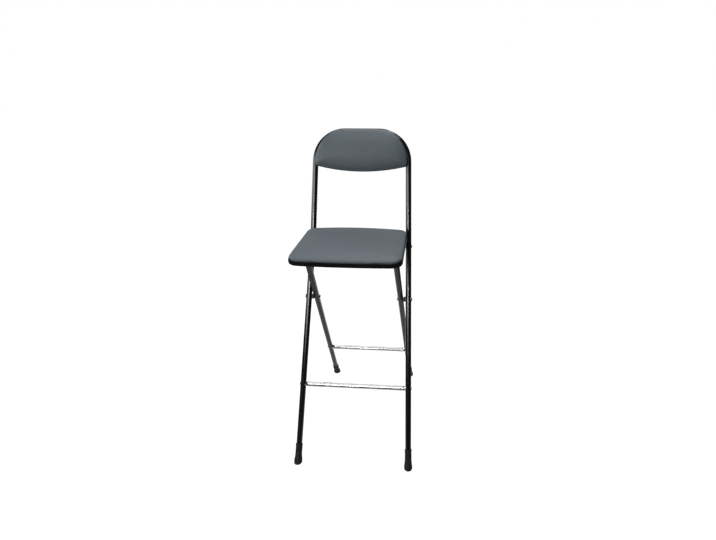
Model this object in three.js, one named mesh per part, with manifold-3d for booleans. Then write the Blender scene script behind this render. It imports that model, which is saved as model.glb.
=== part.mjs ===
// Folding bar stool with a padded seat and a padded half-moon back.
//
// The stool faces -Y and stands on z = 0. All lengths are in millimetres.
// One bent tube makes the front legs and the back hoop. A second tube, an
// inverted U, makes the rear legs and carries the seat on its cross bar.
// The two frames turn on a pair of scissor rivets. Two hooks under the rear
// of the seat rest on pins in the uprights and hold the open stool stiff.

import * as THREE from 'three';
import { mergeVertices } from 'three/addons/utils/BufferGeometryUtils.js';
import Module from 'manifold-3d';

const wasm = await Module();
wasm.setup();

// Driving dimensions

const TUBE_DIAMETER = 20;
const TUBE_WALL = 1.5;
const RAIL_DIAMETER = 16;
const RAIL_WALL = 1.2;
const CLEARANCE = 0.3; // clearance between pieces that touch
const OVERRUN = 2; // how far a cutter reaches past what it cuts

// Main frame
const FRONT_SPREAD = 383.6; // between the front leg axes on the floor
const FRONT_LEAN_DEG = 24.75; // front legs, from the vertical
const FRONT_SPLAY_DEG = 1.73; // each front leg, outwards
const BEND_HEIGHT = 720; // where legs become uprights
const LEG_BEND_RADIUS = 220;
const BACK_LEAN_DEG = 17.25; // uprights, from the vertical
const BACK_TAPER_DEG = 1.3; // each upright, inwards
const HOOP_HEIGHT = 1072; // axis of the hoop's top
const HOOP_RADIUS = 105;
const FOOT_RAIL_HEIGHT = 246;

// Rear frame
const SCISSOR_HEIGHT = 524.5;
const SPACER_LENGTH = 7.7; // between the crossing tubes
const REAR_LEAN_DEG = 31.83; // rear legs, from the vertical
const REAR_SPLAY_DEG = 1.29;
const BAR_HEIGHT = 736; // cross bar under the seat
const REAR_CORNER_RADIUS = 45;
const REAR_RAIL_HEIGHT = 200;

// Feet
const FOOT_LENGTH = 66;
const FOOT_RADIUS = 14;
const FOOT_RUBBER = 1.3; // wall round the tube
const FOOT_SOLE = 9; // rubber under the tube's end
const FOOT_FLARE_SHARE = 0.35; // share of the length that the flare takes
const FOOT_CHAMFER = 3;

// Pivots and pins
const RIVET_RADIUS = 4;
const RIVET_HEAD_RADIUS = 7.5;
const RIVET_HEAD_HEIGHT = 3;
const SPACER_RADIUS = 8.5;
const SEAT_PIN_DROP = 43; // seat pins' axis below the cross bar's
const SLEEVE_RADIUS = 6;
const SCREW_RADIUS = 2.5;
const SCREW_HEAD_RADIUS = 4.6;
const SCREW_HEAD_HEIGHT = 2.2;
const PLUG_LENGTH = 22;

// Seat
const SEAT_OVERLAP = 10.5; // rear of the seat's sides, past the uprights' inner sides
const SEAT_FLARE = 9; // seat's front wider than its rear
const SEAT_DEPTH = 293; // front edge to rear edge, at the sides
const SEAT_REAR_SHARE = 0.8086; // rear edge at the sides, on the way from cross bar to seat pins
const SEAT_REAR_BOW = 13; // how far the rear edge swells between the uprights
const SEAT_FRONT_BOW = 4;
const SEAT_FRONT_CORNER = 38;
const SEAT_REAR_CORNER = 33;
const TRAY_SHEET = 1.5;
const TRAY_RIM = 12;
const TRAY_EDGE_RADIUS = 3;
const BOARD_THICKNESS = 9;
const BOARD_SCREW_SHARES = [0.75, 0.6]; // of the way to the front and to the rear edge
const BOARD_SCREW_PLACE_SHARE = 0.2; // share of the seat's half width at the front
const CUSHION_SIDE = 13; // padded side above the board
const CUSHION_SHOULDER = 8; // width of the rounded shoulder
const CUSHION_CROWN = 7; // rise from shoulder to middle

// Brackets
const STRAP_THICKNESS = 2;
const SADDLE_WIDTH = 30;
const SADDLE_EAR = 20;
const SADDLE_PLACE_SHARE = 0.745; // of the cross bar's straight half
const HOOK_THICKNESS = 2.5;
const HOOK_LIP = 6.5; // metal round the pin sleeve
const HOOK_INSET = 10.5; // from the upright's side to the plate
const HOOK_START_SHARE = 0.52; // share of the way from cross bar to pin
const HOOK_FLANGE = 28;
const HOOK_RIVET_SHARES = [0.2, 0.75]; // along the flange
const HOOK_ARM_SHARE = 0.3; // of the flange, in front of the arm
const HOOK_MOUTH_DEG = 236; // way out of the hook, from +Y towards +Z

// Back
const BACK_BOARD_THICKNESS = 8;
const BACK_SIDE_OVERLAP = 7; // over the uprights
const BACK_TOP_OVERLAP = 16; // over the hoop's top
const BACK_DEPTH_SIDE = 124; // hoop's top axis to the lower corners
const BACK_DEPTH_MIDDLE = 141.5; // hoop's top axis to the lowest point
const BACK_CORNER = 10;
const PAD_SIDE = 13;
const PAD_SHOULDER = 8;
const PAD_CROWN = 8;
const TAB_THICKNESS = 1.5;
const TAB_LENGTH = 34;
const TAB_HEIGHT = 22;
const TAB_RISE = 5; // above the board's lower corner
const BACK_SCREW_SHARE = 0.84; // outer screws' place on the straight half of the hoop's top

// Faces round a circle
const TUBE_SIDES = 16;
const SMALL_SIDES = 12;
const FOOT_SIDES = 20;
const ARC_STEP_DEG = 9;

// Values that follow from the driving dimensions

const radians = THREE.MathUtils.degToRad;
const tan = (degrees) => Math.tan(radians(degrees));
const TUBE_RADIUS = TUBE_DIAMETER / 2;
const RAIL_RADIUS = RAIL_DIAMETER / 2;

// A point on the axis of a front leg or upright; side is -1 or 1.
function frontAxis(height, side) {
  const legPart = Math.min(height, BEND_HEIGHT);
  const backPart = Math.max(height - BEND_HEIGHT, 0);
  const spread = FRONT_SPREAD / 2 - legPart * tan(FRONT_SPLAY_DEG) - backPart * tan(BACK_TAPER_DEG);
  const depth = legPart * tan(FRONT_LEAN_DEG) + backPart * tan(BACK_LEAN_DEG);
  return new THREE.Vector3(side * spread, depth, height);
}

const scissor = frontAxis(SCISSOR_HEIGHT, 1);
const rearSpreadAtScissor = scissor.x - TUBE_DIAMETER - SPACER_LENGTH;

// A point on the axis of a rear leg, up to the cross bar.
function rearAxis(height, side) {
  const drop = SCISSOR_HEIGHT - height;
  const spread = rearSpreadAtScissor + drop * tan(REAR_SPLAY_DEG);
  return new THREE.Vector3(side * spread, scissor.y + drop * tan(REAR_LEAN_DEG), height);
}

const bar = rearAxis(BAR_HEIGHT, 0);
const seatPinHeight = BAR_HEIGHT - SEAT_PIN_DROP;
const seatPin = frontAxis(seatPinHeight, 1);
const pinReach = seatPin.y - bar.y;
const rearReach = pinReach * SEAT_REAR_SHARE; // cross bar to the seat's rear edge
const frontReach = SEAT_DEPTH - rearReach; // cross bar to the seat's front edge
const seatRearHalf = frontAxis(BEND_HEIGHT, 1).x - TUBE_RADIUS + SEAT_OVERLAP;
const seatFrontHalf = seatRearHalf + SEAT_FLARE / 2;
const barStraightHalf = rearAxis(BAR_HEIGHT, 1).x - REAR_CORNER_RADIUS;
const hoopHalf = frontAxis(HOOP_HEIGHT - HOOP_RADIUS, 1).x;
const backScrewSpacing = (hoopHalf - HOOP_RADIUS) * BACK_SCREW_SHARE;

// Materials

const surface = (color, roughness, metalness) => (
  new THREE.MeshStandardMaterial({ color, roughness, metalness }));
const blackPaint = () => surface(0x0b0b0c, 0.22, 0.5);
const chrome = () => surface(0xd8dadd, 0.14, 1);
const rubber = () => surface(0x151515, 0.75, 0);
const nylon = () => surface(0x1d1d1f, 0.5, 0);
const steel = () => surface(0x1a1b1d, 0.35, 0.8);
const plywood = () => surface(0x9a7a50, 0.8, 0);
const greyVinyl = () => surface(0x5f656b, 0.55, 0);

// Solids: each piece is made one closed body before it gets its name

function signedVolume(position, index) {
  const [a, b, c] = [new THREE.Vector3(), new THREE.Vector3(), new THREE.Vector3()];
  let sum = 0;
  for (let i = 0; i < index.length; i += 3) {
    a.fromBufferAttribute(position, index[i]);
    b.fromBufferAttribute(position, index[i + 1]);
    c.fromBufferAttribute(position, index[i + 2]);
    sum += a.dot(b.cross(c));
  }
  return sum;
}

function toSolid(geometry) {
  const plain = geometry.clone();
  plain.deleteAttribute('normal');
  plain.deleteAttribute('uv');
  const merged = mergeVertices(plain);
  const position = merged.getAttribute('position');
  const source = merged.getIndex().array;
  const faces = [];
  for (let i = 0; i < source.length; i += 3) {
    const [a, b, c] = [source[i], source[i + 1], source[i + 2]];
    if (a !== b && b !== c && c !== a) faces.push(a, b, c);
  }
  if (signedVolume(position, faces) < 0) faces.reverse();
  return new wasm.Manifold(new wasm.Mesh({
    numProp: 3,
    vertProperties: new Float32Array(position.array),
    triVerts: new Uint32Array(faces),
  }));
}

function toGeometry(solid) {
  const mesh = solid.getMesh();
  const geometry = new THREE.BufferGeometry();
  geometry.setAttribute('position', new THREE.BufferAttribute(new Float32Array(mesh.vertProperties), 3));
  geometry.setIndex(new THREE.BufferAttribute(new Uint32Array(mesh.triVerts), 1));
  geometry.computeVertexNormals();
  return geometry;
}

function cut(geometry, ...cutters) {
  let solid = toSolid(geometry);
  for (const cutter of cutters) solid = solid.subtract(toSolid(cutter));
  return solid;
}

function piece(name, shape, material) {
  const solid = shape instanceof THREE.BufferGeometry ? toSolid(shape) : shape;
  const mesh = new THREE.Mesh(toGeometry(solid), material);
  mesh.name = name;
  return mesh;
}

// Geometry helpers

// A curve through given stations, so a tube gets rings only where it bends.
class StationPath extends THREE.Curve {
  constructor(stations) {
    super();
    this.stations = stations;
  }

  getPoint(t, target = new THREE.Vector3()) {
    return target.copy(this.stations[Math.round(t * (this.stations.length - 1))]);
  }

  getPointAt(u, target) {
    return this.getPoint(u, target);
  }

  getTangentAt(u, target = new THREE.Vector3()) {
    const last = this.stations.length - 1;
    const i = Math.round(u * last);
    const here = this.stations[i];
    const into = new THREE.Vector3().subVectors(here, this.stations[Math.max(i - 1, 0)]).normalize();
    const out = new THREE.Vector3().subVectors(this.stations[Math.min(i + 1, last)], here).normalize();
    return target.addVectors(into, out).normalize();
  }
}

// Stations of a line through corner points, each inner corner rounded.
function roundedStations(corners, radii) {
  const stations = [corners[0].clone()];
  for (let i = 1; i < corners.length - 1; i += 1) {
    const back = new THREE.Vector3().subVectors(corners[i - 1], corners[i]).normalize();
    const ahead = new THREE.Vector3().subVectors(corners[i + 1], corners[i]).normalize();
    const turn = Math.PI - back.angleTo(ahead);
    const reach = radii[i - 1] * Math.tan(turn / 2);
    const start = corners[i].clone().addScaledVector(back, reach);
    const middle = new THREE.Vector3().addVectors(back, ahead).normalize();
    const centre = corners[i].clone().addScaledVector(middle, radii[i - 1] / Math.cos(turn / 2));
    const axis = new THREE.Vector3().crossVectors(ahead, back).normalize();
    const steps = Math.max(2, Math.ceil(turn / radians(ARC_STEP_DEG)));
    const arm = new THREE.Vector3().subVectors(start, centre);
    for (let k = 0; k <= steps; k += 1) {
      stations.push(arm.clone().applyAxisAngle(axis, (turn * k) / steps).add(centre));
    }
  }
  stations.push(corners[corners.length - 1].clone());
  return stations;
}

function roundBar(stations, radius, sides) {
  const section = new THREE.Shape();
  section.absarc(0, 0, radius, 0, Math.PI * 2, false);
  const path = new StationPath(stations);
  return new THREE.ExtrudeGeometry(section, {
    steps: stations.length - 1, extrudePath: path, curveSegments: sides / 2, bevelEnabled: false,
  });
}

function hollowTube(stations, radius, wall, sides) {
  const section = new THREE.Shape();
  section.absarc(0, 0, radius, 0, Math.PI * 2, false);
  const bore = new THREE.Path();
  bore.absarc(0, 0, radius - wall, 0, Math.PI * 2, true);
  section.holes.push(bore);
  const path = new StationPath(stations);
  return new THREE.ExtrudeGeometry(section, {
    steps: stations.length - 1, extrudePath: path, curveSegments: sides / 2, bevelEnabled: false,
  });
}

// A revolved solid whose own axis is then laid along a direction.
function revolve(profile, sides, direction = new THREE.Vector3(0, 0, 1)) {
  const geometry = new THREE.LatheGeometry(profile.map(([r, t]) => new THREE.Vector2(r, t)), sides);
  const upright = new THREE.Vector3(0, 1, 0);
  const turn = new THREE.Quaternion().setFromUnitVectors(upright, direction.clone().normalize());
  return geometry.applyQuaternion(turn);
}

// A round cutter from one point to another.
function drill(from, to, radius, sides = SMALL_SIDES) {
  const along = new THREE.Vector3().subVectors(to, from);
  const length = along.length();
  return revolve([[0, 0], [radius, 0], [radius, length], [0, length]], sides, along)
    .translate(from.x, from.y, from.z);
}

// A rivet or pin along +X from the inner head's seat to the outer head's seat.
function rivet(grip, radius, headRadius, headHeight) {
  const dome = [];
  const steps = 3;
  for (let k = 0; k <= steps; k += 1) {
    const angle = (k / steps) * Math.PI / 2;
    dome.push([headRadius * Math.cos(angle), headHeight * Math.sin(angle)]);
  }
  const tail = dome.map(([r, t]) => [r, -t]).reverse();
  const head = dome.map(([r, t]) => [r, grip + t]);
  const profile = [...tail, [radius, 0], [radius, grip], ...head];
  profile[0][0] = 0;
  profile[profile.length - 1][0] = 0;
  return revolve(profile, SMALL_SIDES, new THREE.Vector3(1, 0, 0));
}

// A pan-head screw whose head sits at the origin and whose shank runs along a direction.
function screw(length, direction) {
  const profile = [
    [0, -SCREW_HEAD_HEIGHT],
    [SCREW_HEAD_RADIUS * 0.75, -SCREW_HEAD_HEIGHT],
    [SCREW_HEAD_RADIUS, -SCREW_HEAD_HEIGHT / 2],
    [SCREW_HEAD_RADIUS, 0],
    [SCREW_RADIUS, 0],
    [SCREW_RADIUS, length - SCREW_RADIUS],
    [0, length],
  ];
  return revolve(profile, SMALL_SIDES, direction);
}

// A solid made of rings that follow one outline, capped by a fan at each end.
function ringLoft(outline, rings, middleY = 0) {
  const vertices = [];
  const faces = [];
  const rows = rings.map(({ inset, shrinkShare = 1, height }) => outline(inset).map((p) => (
    [p.x * shrinkShare, middleY + (p.y - middleY) * shrinkShare, height])));
  const count = rows[0].length;
  rows.forEach((row) => row.forEach((p) => vertices.push(...p)));
  for (let r = 0; r < rows.length - 1; r += 1) {
    for (let i = 0; i < count; i += 1) {
      const j = (i + 1) % count;
      const [a, b] = [r * count + i, r * count + j];
      faces.push(a, b, b + count, a, b + count, a + count);
    }
  }
  const bottom = vertices.length / 3;
  vertices.push(0, middleY, rings[0].height);
  const top = bottom + 1;
  const { height: topHeight, capHeight = topHeight } = rings[rings.length - 1];
  vertices.push(0, middleY, capHeight);
  const lastRow = (rows.length - 1) * count;
  for (let i = 0; i < count; i += 1) {
    const j = (i + 1) % count;
    faces.push(bottom, j, i, top, lastRow + i, lastRow + j);
  }
  const geometry = new THREE.BufferGeometry();
  geometry.setAttribute('position', new THREE.Float32BufferAttribute(vertices, 3));
  geometry.setIndex(faces);
  return geometry;
}

// Main frame: legs, uprights and hoop

function mainFrame() {
  const group = new THREE.Group();
  group.name = 'main_frame';

  const legDirection = (side) => frontAxis(BEND_HEIGHT, side).sub(frontAxis(0, side)).normalize();
  const tubeEnd = (side) => frontAxis(0, side)
    .addScaledVector(legDirection(side), soleLift(FRONT_LEAN_DEG));
  const stations = roundedStations(
    [tubeEnd(-1), frontAxis(BEND_HEIGHT, -1), frontAxis(HOOP_HEIGHT, -1),
      frontAxis(HOOP_HEIGHT, 1), frontAxis(BEND_HEIGHT, 1), tubeEnd(1)],
    [LEG_BEND_RADIUS, HOOP_RADIUS, HOOP_RADIUS, LEG_BEND_RADIUS],
  );
  const holes = [];
  for (const side of [-1, 1]) {
    holes.push(crossHole(frontAxis(SCISSOR_HEIGHT, side), side, RIVET_RADIUS + CLEARANCE));
    holes.push(crossHole(frontAxis(seatPinHeight, side), side, RIVET_RADIUS + CLEARANCE));
    holes.push(crossHole(frontAxis(FOOT_RAIL_HEIGHT, side), side, SCREW_RADIUS + CLEARANCE));
  }
  for (const place of backScrewPlaces()) {
    const reach = backNormal().multiplyScalar(TUBE_RADIUS + OVERRUN);
    holes.push(drill(place.clone().sub(reach), place.clone().add(reach), SCREW_RADIUS + CLEARANCE));
  }
  group.add(piece('front_frame_tube',
    cut(hollowTube(stations, TUBE_RADIUS, TUBE_WALL, TUBE_SIDES), ...holes), blackPaint()));

  addRail(group, 'foot_rail', frontAxis, FOOT_RAIL_HEIGHT, FRONT_LEAN_DEG);
  for (const side of [-1, 1]) {
    const name = side < 0 ? 'left' : 'right';
    group.add(foot(`front_foot_${name}`, frontAxis(0, side), legDirection(side), FRONT_LEAN_DEG));
    group.add(...scissorPieces(name, side), ...seatPinPieces(name, side));
  }
  group.add(backPieces());
  return group;
}

// Distance along a leg from the floor point to the tube's end
function soleLift(leanDeg) {
  return FOOT_SOLE + TUBE_RADIUS * tan(leanDeg);
}

// A hole along X through a tube at a point of its axis
function crossHole(at, side, radius) {
  const reach = new THREE.Vector3(side * (TUBE_RADIUS + OVERRUN), 0, 0);
  return drill(at.clone().sub(reach), at.clone().add(reach), radius);
}

function foot(name, floorPoint, direction, leanDeg) {
  const bore = TUBE_RADIUS + CLEARANCE;
  const collar = bore + FOOT_RUBBER;
  const bottom = -FOOT_RADIUS * tan(leanDeg) - OVERRUN;
  const flareTop = FOOT_LENGTH * FOOT_FLARE_SHARE;
  const flareRadius = collar + (FOOT_RADIUS - collar) / 3;
  const profile = [
    [0, bottom], [FOOT_RADIUS, bottom], [FOOT_RADIUS, FOOT_SOLE / 2],
    [(FOOT_RADIUS + flareRadius) / 2, (FOOT_SOLE + flareTop) / 2],
    [flareRadius, flareTop], [collar, FOOT_LENGTH - FOOT_CHAMFER],
    [collar - FOOT_RUBBER / 2, FOOT_LENGTH], [bore, FOOT_LENGTH],
    [bore, soleLift(leanDeg) - CLEARANCE], [0, soleLift(leanDeg) - CLEARANCE],
  ];
  const body = revolve(profile, FOOT_SIDES, direction)
    .translate(floorPoint.x, floorPoint.y, floorPoint.z);
  const size = 4 * FOOT_RADIUS + FOOT_LENGTH;
  const floor = new THREE.BoxGeometry(size, size, size).translate(floorPoint.x, floorPoint.y, -size / 2);
  return piece(name, cut(body, floor), rubber());
}

// A round rail between two legs, its ends coped to the tubes, with a
// threaded plug in each end and a screw through the leg into each plug.
function addRail(group, name, axisAt, height, leanDeg) {
  const [left, right] = [axisAt(height, -1), axisAt(height, 1)];
  const copes = [-1, 1].map((side) => roundBar([
    axisAt(height - RAIL_DIAMETER * 2, side), axisAt(height + RAIL_DIAMETER * 2, side),
  ], TUBE_RADIUS + CLEARANCE, TUBE_SIDES * 2));
  const tube = cut(hollowTube([left, right], RAIL_RADIUS, RAIL_WALL, TUBE_SIDES), ...copes);
  group.add(piece(name, tube, chrome()));
  for (const side of [-1, 1]) {
    const label = side < 0 ? 'left' : 'right';
    const end = side < 0 ? left : right;
    const inward = new THREE.Vector3(-side, 0, 0);
    const plugStart = end.clone().addScaledVector(inward, TUBE_RADIUS + CLEARANCE);
    const plugEnd = plugStart.clone().addScaledVector(inward, PLUG_LENGTH);
    const plug = drill(end, plugEnd, RAIL_RADIUS - RAIL_WALL - CLEARANCE, TUBE_SIDES);
    const bore = drill(end, plugEnd.clone().addScaledVector(inward, OVERRUN), SCREW_RADIUS + CLEARANCE);
    group.add(piece(`${name}_plug_${label}`, cut(plug, copes[side < 0 ? 0 : 1], bore), steel()));
    const headSeat = end.clone().addScaledVector(inward, -TUBE_RADIUS - CLEARANCE);
    const screwMesh = piece(`${name}_screw_${label}`,
      screw(TUBE_DIAMETER + PLUG_LENGTH, inward), chrome());
    screwMesh.position.copy(headSeat);
    group.add(screwMesh);
  }
}

function scissorPieces(name, side) {
  const outer = frontAxis(SCISSOR_HEIGHT, side);
  const inner = rearAxis(SCISSOR_HEIGHT, side);
  const grip = Math.abs(outer.x - inner.x) + TUBE_DIAMETER + 2 * CLEARANCE;
  const pin = piece(`scissor_rivet_${name}`,
    rivet(grip, RIVET_RADIUS, RIVET_HEAD_RADIUS, RIVET_HEAD_HEIGHT), chrome());
  pin.position.copy(inner).setX(inner.x - side * (TUBE_RADIUS + CLEARANCE));
  pin.rotation.z = side < 0 ? Math.PI : 0;
  const length = SPACER_LENGTH - 2 * CLEARANCE;
  const ring = revolve([
    [RIVET_RADIUS + CLEARANCE, 0], [SPACER_RADIUS, 0], [SPACER_RADIUS, length],
    [RIVET_RADIUS + CLEARANCE, length], [RIVET_RADIUS + CLEARANCE, 0],
  ], TUBE_SIDES, new THREE.Vector3(1, 0, 0));
  const spacer = piece(`scissor_spacer_${name}`, ring, nylon());
  spacer.position.copy(inner).setX(inner.x + side * (TUBE_RADIUS + SPACER_LENGTH / 2) - length / 2);
  return [pin, spacer];
}

function hookPlace() {
  return seatPin.x - TUBE_RADIUS - HOOK_INSET; // outer face of the hook plate
}

function seatPinPieces(name, side) {
  const outer = frontAxis(seatPinHeight, side);
  const innerSeat = hookPlace() - HOOK_THICKNESS - HOOK_LIP / 2;
  const grip = seatPin.x + TUBE_RADIUS + CLEARANCE - innerSeat;
  const pin = piece(`seat_pin_${name}`,
    rivet(grip, RIVET_RADIUS, RIVET_HEAD_RADIUS, RIVET_HEAD_HEIGHT), chrome());
  pin.position.set(side * innerSeat, outer.y, outer.z);
  pin.rotation.z = side < 0 ? Math.PI : 0;
  const bore = RIVET_RADIUS + CLEARANCE;
  const length = seatPin.x - TUBE_RADIUS - innerSeat - 2 * CLEARANCE;
  const ring = revolve([
    [bore, 0], [SLEEVE_RADIUS, 0], [SLEEVE_RADIUS, length], [bore, length], [bore, 0],
  ], TUBE_SIDES, new THREE.Vector3(1, 0, 0));
  const sleeve = piece(`seat_pin_sleeve_${name}`, ring, nylon());
  sleeve.position.set(side * (innerSeat + CLEARANCE), outer.y, outer.z);
  sleeve.rotation.z = side < 0 ? Math.PI : 0;
  return [pin, sleeve];
}

// Back: board, pad, screws and tabs, laid out on the plane of the uprights

function backNormal() {
  return new THREE.Vector3(0, -Math.cos(radians(BACK_LEAN_DEG)), Math.sin(radians(BACK_LEAN_DEG)));
}

function hoopTop() {
  return frontAxis(HOOP_HEIGHT, 0);
}

function backScrewPlaces() {
  return [-1, 0, 1].map((k) => hoopTop().setX(k * backScrewSpacing));
}

// Half-moon outline in the back's own plane: x across, y up from the hoop's axis
function backOutline(inset) {
  const cornerCentre = hoopHalf - HOOP_RADIUS;
  const sideRadius = HOOP_RADIUS - TUBE_RADIUS + BACK_SIDE_OVERLAP - inset;
  const topRadius = HOOP_RADIUS - TUBE_RADIUS + BACK_TOP_OVERLAP - inset;
  const sideEdge = cornerCentre + sideRadius;
  const points = [];
  const steps = 8;
  for (let k = 0; k <= steps; k += 1) {
    const a = (k / steps) * Math.PI / 2;
    points.push(new THREE.Vector2(
      cornerCentre + sideRadius * Math.cos(a), -HOOP_RADIUS + topRadius * Math.sin(a)));
  }
  for (let k = steps; k >= 0; k -= 1) {
    points.push(new THREE.Vector2(-points[k].x, points[k].y));
  }
  const low = -BACK_DEPTH_SIDE + inset;
  const lowest = -BACK_DEPTH_MIDDLE + inset;
  const round = Math.max(BACK_CORNER - inset, BACK_CORNER / 5);
  const bottomSteps = 10;
  points.push(new THREE.Vector2(-sideEdge, low + round),
    new THREE.Vector2(-sideEdge + round / 3, low + round / 3));
  for (let k = 0; k <= bottomSteps; k += 1) {
    const share = -1 + (2 * k) / bottomSteps;
    const x = share * (sideEdge - round);
    points.push(new THREE.Vector2(x, lowest + (low - lowest) * share * share));
  }
  points.push(new THREE.Vector2(sideEdge - round / 3, low + round / 3),
    new THREE.Vector2(sideEdge, low + round));
  const middle = (topRadius - HOOP_RADIUS + lowest) / 2;
  return points.map((p) => new THREE.Vector2(p.x, p.y - middle));
}

function backMiddle() {
  return (BACK_TOP_OVERLAP - TUBE_RADIUS - BACK_DEPTH_MIDDLE) / 2;
}

function backPieces() {
  const group = new THREE.Group();
  group.name = 'back_plane';
  group.position.copy(hoopTop());
  group.rotation.x = Math.PI / 2 - radians(BACK_LEAN_DEG);

  // In this group x runs across, y up the back and z out of its front face.
  const boardBack = TUBE_RADIUS + CLEARANCE;
  const boardFront = boardBack + BACK_BOARD_THICKNESS;
  const screwHoles = [-1, 0, 1].map((k) => drill(
    new THREE.Vector3(k * backScrewSpacing, 0, -TUBE_RADIUS),
    new THREE.Vector3(k * backScrewSpacing, 0, boardFront + OVERRUN), SCREW_RADIUS + CLEARANCE));
  const tabScrewX = hoopHalf - TUBE_RADIUS - TAB_LENGTH / 2;
  const tabY = -BACK_DEPTH_SIDE + TAB_RISE + TAB_HEIGHT / 2;
  const tabHoles = [-1, 1].map((side) => drill(
    new THREE.Vector3(side * tabScrewX, tabY, 0),
    new THREE.Vector3(side * tabScrewX, tabY, boardFront + OVERRUN), SCREW_RADIUS + CLEARANCE));

  const board = ringLoft(backOutline, [
    { inset: CLEARANCE, height: boardBack }, { inset: CLEARANCE, height: boardFront },
  ]).translate(0, backMiddle(), 0);
  group.add(piece('back_board', cut(board, ...screwHoles, ...tabHoles), plywood()));

  const padBack = boardFront + CLEARANCE;
  const shoulder = padBack + PAD_SIDE;
  const pad = ringLoft(backOutline, [
    { inset: PAD_SHOULDER / 4, height: padBack },
    { inset: 0, height: padBack + PAD_SIDE / 3 },
    { inset: PAD_SHOULDER / 8, height: padBack + PAD_SIDE * 2 / 3 },
    { inset: PAD_SHOULDER / 2, height: shoulder },
    { inset: PAD_SHOULDER, height: shoulder + PAD_CROWN / 4 },
    { inset: PAD_SHOULDER, shrinkShare: 0.86, height: shoulder + PAD_CROWN * 0.55 },
    { inset: PAD_SHOULDER, shrinkShare: 0.66, height: shoulder + PAD_CROWN * 0.8 },
    {
      inset: PAD_SHOULDER,
      shrinkShare: 0.35,
      height: shoulder + PAD_CROWN * 0.96,
      capHeight: shoulder + PAD_CROWN,
    },
  ]).translate(0, backMiddle(), 0);
  group.add(piece('back_cushion', pad, greyVinyl()));

  const labels = ['left', 'middle', 'right'];
  [-1, 0, 1].forEach((k, i) => {
    const length = TUBE_DIAMETER + BACK_BOARD_THICKNESS - CLEARANCE;
    const mesh = piece(`back_screw_${labels[i]}`, screw(length, new THREE.Vector3(0, 0, 1)), steel());
    mesh.position.set(k * backScrewSpacing, 0, -TUBE_RADIUS - CLEARANCE);
    group.add(mesh);
  });

  for (const side of [-1, 1]) {
    const label = side < 0 ? 'left' : 'right';
    const uprightAt = (y) => new THREE.Vector3(
      frontAxis(HOOP_HEIGHT + y * Math.cos(radians(BACK_LEAN_DEG)), side).x, y, 0);
    const tubeX = uprightAt(tabY).x;
    const blank = new THREE.BoxGeometry(TAB_LENGTH, TAB_HEIGHT, TAB_THICKNESS)
      .translate(tubeX - side * TAB_LENGTH / 2, tabY, boardBack - CLEARANCE - TAB_THICKNESS / 2);
    const hoopSide = roundedStations(
      [uprightAt(tabY - TAB_HEIGHT), uprightAt(0), new THREE.Vector3()], [HOOP_RADIUS]);
    const cope = roundBar(hoopSide, TUBE_RADIUS + CLEARANCE, TUBE_SIDES * 2);
    const outside = new THREE.BoxGeometry(TUBE_DIAMETER * 2, TAB_HEIGHT * 2, TUBE_DIAMETER * 2)
      .translate(tubeX + side * TUBE_DIAMETER, tabY, 0);
    group.add(piece(`back_tab_${label}`,
      cut(blank, cope, outside, tabHoles[side < 0 ? 0 : 1]), blackPaint()));
    const mesh = piece(`back_tab_screw_${label}`,
      screw(TAB_THICKNESS + BACK_BOARD_THICKNESS - CLEARANCE, new THREE.Vector3(0, 0, 1)), steel());
    mesh.position.set(side * tabScrewX, tabY, boardBack - 2 * CLEARANCE - TAB_THICKNESS);
    group.add(mesh);
  }
  return group;
}

// Rear frame: inverted U, rear rail and feet

function rearFrame() {
  const group = new THREE.Group();
  group.name = 'rear_frame';
  const direction = (side) => rearAxis(BAR_HEIGHT, side).sub(rearAxis(0, side)).normalize();
  const tubeEnd = (side) => rearAxis(0, side).addScaledVector(direction(side), soleLift(REAR_LEAN_DEG));
  const stations = roundedStations(
    [tubeEnd(-1), rearAxis(BAR_HEIGHT, -1), rearAxis(BAR_HEIGHT, 1), tubeEnd(1)],
    [REAR_CORNER_RADIUS, REAR_CORNER_RADIUS],
  );
  const holes = [];
  for (const side of [-1, 1]) {
    holes.push(crossHole(rearAxis(SCISSOR_HEIGHT, side), side, RIVET_RADIUS + CLEARANCE));
    holes.push(crossHole(rearAxis(REAR_RAIL_HEIGHT, side), side, SCREW_RADIUS + CLEARANCE));
  }
  group.add(piece('rear_frame_tube',
    cut(hollowTube(stations, TUBE_RADIUS, TUBE_WALL, TUBE_SIDES), ...holes), blackPaint()));
  addRail(group, 'rear_rail', rearAxis, REAR_RAIL_HEIGHT, REAR_LEAN_DEG);
  for (const side of [-1, 1]) {
    const name = side < 0 ? 'left' : 'right';
    group.add(foot(`rear_foot_${name}`, rearAxis(0, side), direction(side), REAR_LEAN_DEG));
  }
  return group;
}

// Seat: its group has its origin on the cross bar's axis

const trayUnderside = TUBE_RADIUS + CLEARANCE;
const trayFloor = trayUnderside + TRAY_SHEET;

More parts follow.
